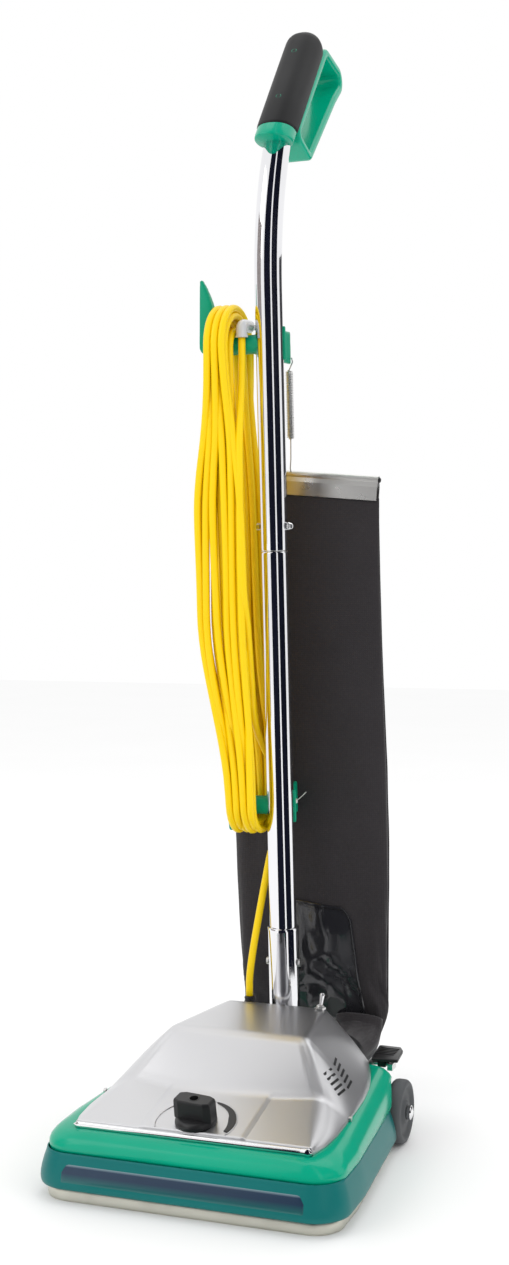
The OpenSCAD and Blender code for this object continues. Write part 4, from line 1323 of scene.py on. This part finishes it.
def make_clip():
    """Folded aluminium channel with a rolled top bead and end rivets."""
    half = 6.0
    profile = [(-half, -8)] + [(-half, 8)] + arc(0, 16, 4.6, 215, -35, 14) + [(half, 8), (half, -8),
        (half - 1.2, -8.4),
        (half - 1.4, 6), (1.2, 10), (-1.2, 10), (-half + 1.4, 6), (-half + 1.2, -8.4)]
    x0, x1 = -BAG_W / 2, BAG_W / 2
    rings = [[CLIP @ (Vector((x, y, z)) * MM) for y, z in profile] for x in (x0, x0 + 1, x1 - 1, x1)]
    points, faces = rings_mesh(rings)
    clip = mesh_piece("clip_channel", points, faces, "handle", M["clip"], ("bag_clip",),
        smooth=False)
    for side, x in ((-1, x0), (1, x1)):
        plug = [(0.01, side * 2.6), (2.0, side * 2.3), (3.2, side * 1.2), (3.4, 0), (3.4, -side * 2)]
        place = CLIP @ Matrix.Translation(Vector((x, 0, 16)) * MM)
        points, faces = lathe(plug, place, 24, "X")
        mesh_piece("clip_end_%s" % ("r" if side > 0 else "l"), points, faces, "handle", M["black"])
    return clip


def make_spring():
    low, high, r, wire = CLIP_Z + 57, CLIP_Z + 139, 3.9, 0.75
    turns = 44
    y = BAG_BACK - 5
    path = [Vector((1, y - 1.5, CLIP_Z + 19)), Vector((1, y - 4, CLIP_Z + 23)),
        Vector((1, y - 1, CLIP_Z + 34)),
        Vector((1, y, CLIP_Z + 53))]
    steps = turns * 12
    for i in range(steps + 1):
        a = 2 * math.pi * turns * i / steps
        grow = min(1, i / 14, (steps - i) / 14)
        path.append(Vector((1 + r * grow * math.cos(a), y + r * grow * math.sin(a),
            low + (high - low) * i / steps)))
    path += [Vector((3, y, CLIP_Z + 143)), Vector((5.4, y, CLIP_Z + 148)), Vector((4.6, y, CLIP_Z + 152.5)),
        Vector((0, y, CLIP_Z + 154)), Vector((-4.5, y, CLIP_Z + 152))]
    points, faces = rings_mesh(tube_rings([HANDLE @ (p * MM) for p in path], wire * MM, 8))
    mesh_piece("spring_coil", points, faces, "handle", M["zinc"], ("bag_spring",))


def make_patch(bag):
    """Glossy vinyl window sewn on the lower part of the bag's front, with a zigzag seam."""
    cols, rows = 30, 40
    surface = BVHTree.FromPolygons([v.co for v in bag.data.vertices],
        [tuple(f.vertices) for f in bag.data.polygons])
    inward = (HANDLE.to_3x3() @ Vector((0, 1, 0))).normalized()
    z_low, z_high = 26, 178

    def spot(u, v, out):
        """Point of the patch at shares of its width and height; the top falls to a clipped corner on the right."""
        left = -22 + 2 * v
        right = 80 - 14 * v - 10 * max(0, (v - 0.86) / 0.14) ** 2
        x = left + (right - left) * u
        z = z_low + (z_high - 8 * u - z_low) * v
        ripple = noise.noise(Vector((u * 3.2, v * 4.5, 1.7))) * 1.6 + noise.noise(Vector((u * 9, v * 5,
            4.1))) * 0.6
        p = surface.ray_cast(HANDLE @ (Vector((x, -60, z)) * MM), inward)[0]
        return p - inward * (out + 0.5 + max(0, ripple)) * MM

    points = [spot(i / cols, j / rows, 1.4) for j in range(rows + 1) for i in range(cols + 1)]
    faces = []
    for j in range(rows):
        for i in range(cols):
            a = j * (cols + 1) + i
            faces.append((a, a + 1, a + cols + 2, a + cols + 1))
    patch = mesh_piece("patch_film", points, faces, "handle", M["vinyl"], ride=False)
    thicken(patch, 0.5)
    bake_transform(patch)
    border = [(0.03, 0.02 + 0.96 * i / 40) for i in range(40)] + [(0.03 + 0.94 * i / 30,
        0.975) for i in range(30)]
    border += [(0.97, 0.975 - 0.955 * i / 41) for i in range(41)]
    zigzag = []
    for i, (u, v) in enumerate(border):
        across = 0.011 * (1 if i % 2 else -1)
        along_top = 40 <= i < 70
        zigzag.append(spot(u + (0 if along_top else across), v + (across * 0.7 if along_top else 0), 2.6))
    points, faces = rings_mesh(tube_rings(zigzag, 0.35 * MM, 6))
    seam = mesh_piece("patch_stitches", points, faces, "handle", M["thread"], ride=False)
    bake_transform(seam)


def make_neck():
    """Gathered cloth neck from the bag's foot to the collar behind the hood."""
    path = spline([at(76, 296, 88), at(76, 306, 88), at(76, 330, 87), at(76, 356, 90), at(74, 378, 98),
        at(72, 388, 112)], 8)
    rings = []
    count = 40
    for i, p in enumerate(path):
        s = i / (len(path) - 1)
        t = (path[min(i + 1, len(path) - 1)] - path[max(i - 1, 0)]).normalized()
        side = Vector((1, 0, 0))
        up = side.cross(t).normalized()
        ring = []
        for k in range(count):
            a = 2 * math.pi * k / count
            pleat = 1 + 0.06 * math.sin(9 * a) * math.sin(math.pi * s)
            rx = (22 + 6 * s) * pleat
            ry = (22 - 8 * s) * pleat
            ring.append(p + (side * math.cos(a) * rx + up * math.sin(a) * ry) * MM)
        rings.append(ring)
    points, faces = rings_mesh(rings, close_ends=False)
    neck = mesh_piece("bag_neck_cloth", points, faces, "handle", M["cloth"], ("bag_neck",),
        ride=False)
    thicken(neck, 1.2)
    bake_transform(neck)


def make_plug():
    """Right-angle plug that lies over the upper hook's arm."""
    place = HANDLE @ Matrix.Translation(Vector((-28.4, -14.5, HOOK_UP + 20.2)) * MM)
    path = [Vector((0, 0, z)) for z in (-13, -12, -9, -6)]
    path += [Vector((0, 7 - 7 * math.cos(math.radians(a)),
        -6 + 7 * math.sin(math.radians(a)))) for a in range(15, 91, 15)]
    path += [Vector((0, y, 1)) for y in (10, 15, 20, 24, 26)]

    def radius(s):
        collar = 1.2 if s < 0.12 else 0.0
        return (6.2 + collar + 1.6 * s - (1.0 if s > 0.97 else 0)) * MM
    points, faces = rings_mesh(tube_rings([place @ (p * MM) for p in path], radius, 32))
    return mesh_piece("plug_shell", points, faces, "handle", M["plug"], ("plug_body",))


# ---------- surroundings ----------

def curved_card(name, first, last, low, high, colour, near=2.6):
    """Card bent round the object, which only reflections see; angles are to the right of the camera."""
    points = []
    steps = 12
    for i in range(steps + 1):
        a = math.radians(19.95 + first + (last - first) * i / steps)
        for z, r in ((low, near), (high, 2.6)):
            points.append((r * math.sin(a), 0.2 - r * math.cos(a), z))
    mesh = bpy.data.meshes.new(name)
    mesh.from_pydata(points, [], [(2 * i, 2 * i + 2, 2 * i + 3, 2 * i + 1) for i in range(steps)])
    card = bpy.data.objects.new(name, mesh)
    bpy.context.scene.collection.objects.link(card)
    g = Graph(name)
    g.link(g.mix(g.noise(2, 2), shade(colour, 0.9), shade(colour, 1.1)), g.shader.inputs["Base Color"])
    g.set(Roughness=1.0, Specular_IOR_Level=0.0)
    mesh.materials.append(g.material)
    card.visible_camera = False
    card.visible_shadow = False
    card.visible_diffuse = False


def make_studio():
    """White room with a pale floor, soft lamps and dark cards that give the metal its dark bands."""
    floor = bpy.data.meshes.new("floor")
    floor.from_pydata([(-9, -9, -0.0005), (9, -9, -0.0005), (9, 9, -0.0005), (-9, 9, -0.0005)], [],
        [(0, 1, 2, 3)])
    ground = bpy.data.objects.new("floor", floor)
    bpy.context.scene.collection.objects.link(ground)
    g = Graph("floor_paint")
    g.link(g.mix(g.noise(2, 2), (0.95, 0.95, 0.95), (0.97, 0.97, 0.97)), g.shader.inputs["Base Color"])
    g.set(Roughness=0.8, Specular_IOR_Level=0.0)
    floor.materials.append(g.material)
    for name, first, last, low, high, colour in (
            ("card_dark_right", 24, 74, 0.004, 2.6, (0.006, 0.007, 0.014)),
            ("card_dark_middle", -34, 13, 0.004, 2.6, (0.008, 0.009, 0.018)),
            ("card_grey_left", -100, -60, 0.0, 2.2, (0.3, 0.27, 0.26)),
            ("card_dark_side", 100, 150, 0.0, 1.6, (0.05, 0.05, 0.055))):
        curved_card(name, first, last, low, high, colour)
        if low > 0:
            curved_card(name + "_low", first, last, 0.004, 0.004, colour, 0.5)
            curved_card(name + "_high", first, last, 2.6, 2.6, colour, 0.02)
    bpy.context.scene.view_settings.view_transform = "Standard"
    world = bpy.data.worlds.new("studio")
    world.use_nodes = True
    world.node_tree.nodes["Background"].inputs["Color"].default_value = (1, 1, 1, 1)
    world.node_tree.nodes["Background"].inputs["Strength"].default_value = 1.0
    bpy.context.scene.world = world
    for name, place, aim, size, power in (
            ("key", (-2.2, -1.9, 2.6), (0, 0, 0.5), 1.8, 14),
            ("fill", (2.6, -1.2, 1.6), (0, 0, 0.5), 1.6, 6),
            ("top", (0.3, 0.8, 3.2), (0, 0, 0.3), 2.2, 12)):
        lamp = bpy.data.objects.new(name, bpy.data.lights.new(name, "AREA"))
        lamp.data.shape = "SQUARE"
        lamp.data.size = size
        lamp.data.energy = power
        lamp.location = place
        lamp.rotation_mode = "QUATERNION"
        lamp.rotation_quaternion = (Vector(aim) - Vector(place)).to_track_quat("-Z", "Y")
        bpy.context.scene.collection.objects.link(lamp)


make_camera()
make_plug()
make_cord()
finish_cad_nodes()
make_housing()
make_bumper()
make_vents(make_hood())
make_knob()
for wheel_side in (-1, 1):
    make_wheel(wheel_side)
    make_front_wheel(wheel_side)
make_pedal()
make_switch()
make_gland()
make_tubes()
make_hook("hook_upper", HOOK_UP, 83, 79, 70, "upper_cord_hook")
make_hook("hook_lower", HOOK_LOW, 64, -32, 59, "lower_cord_hook")
make_cable_tie()
make_grip()
BAG = make_bag()
make_patch(BAG)
make_neck()
make_clip()
make_spring()
make_studio()
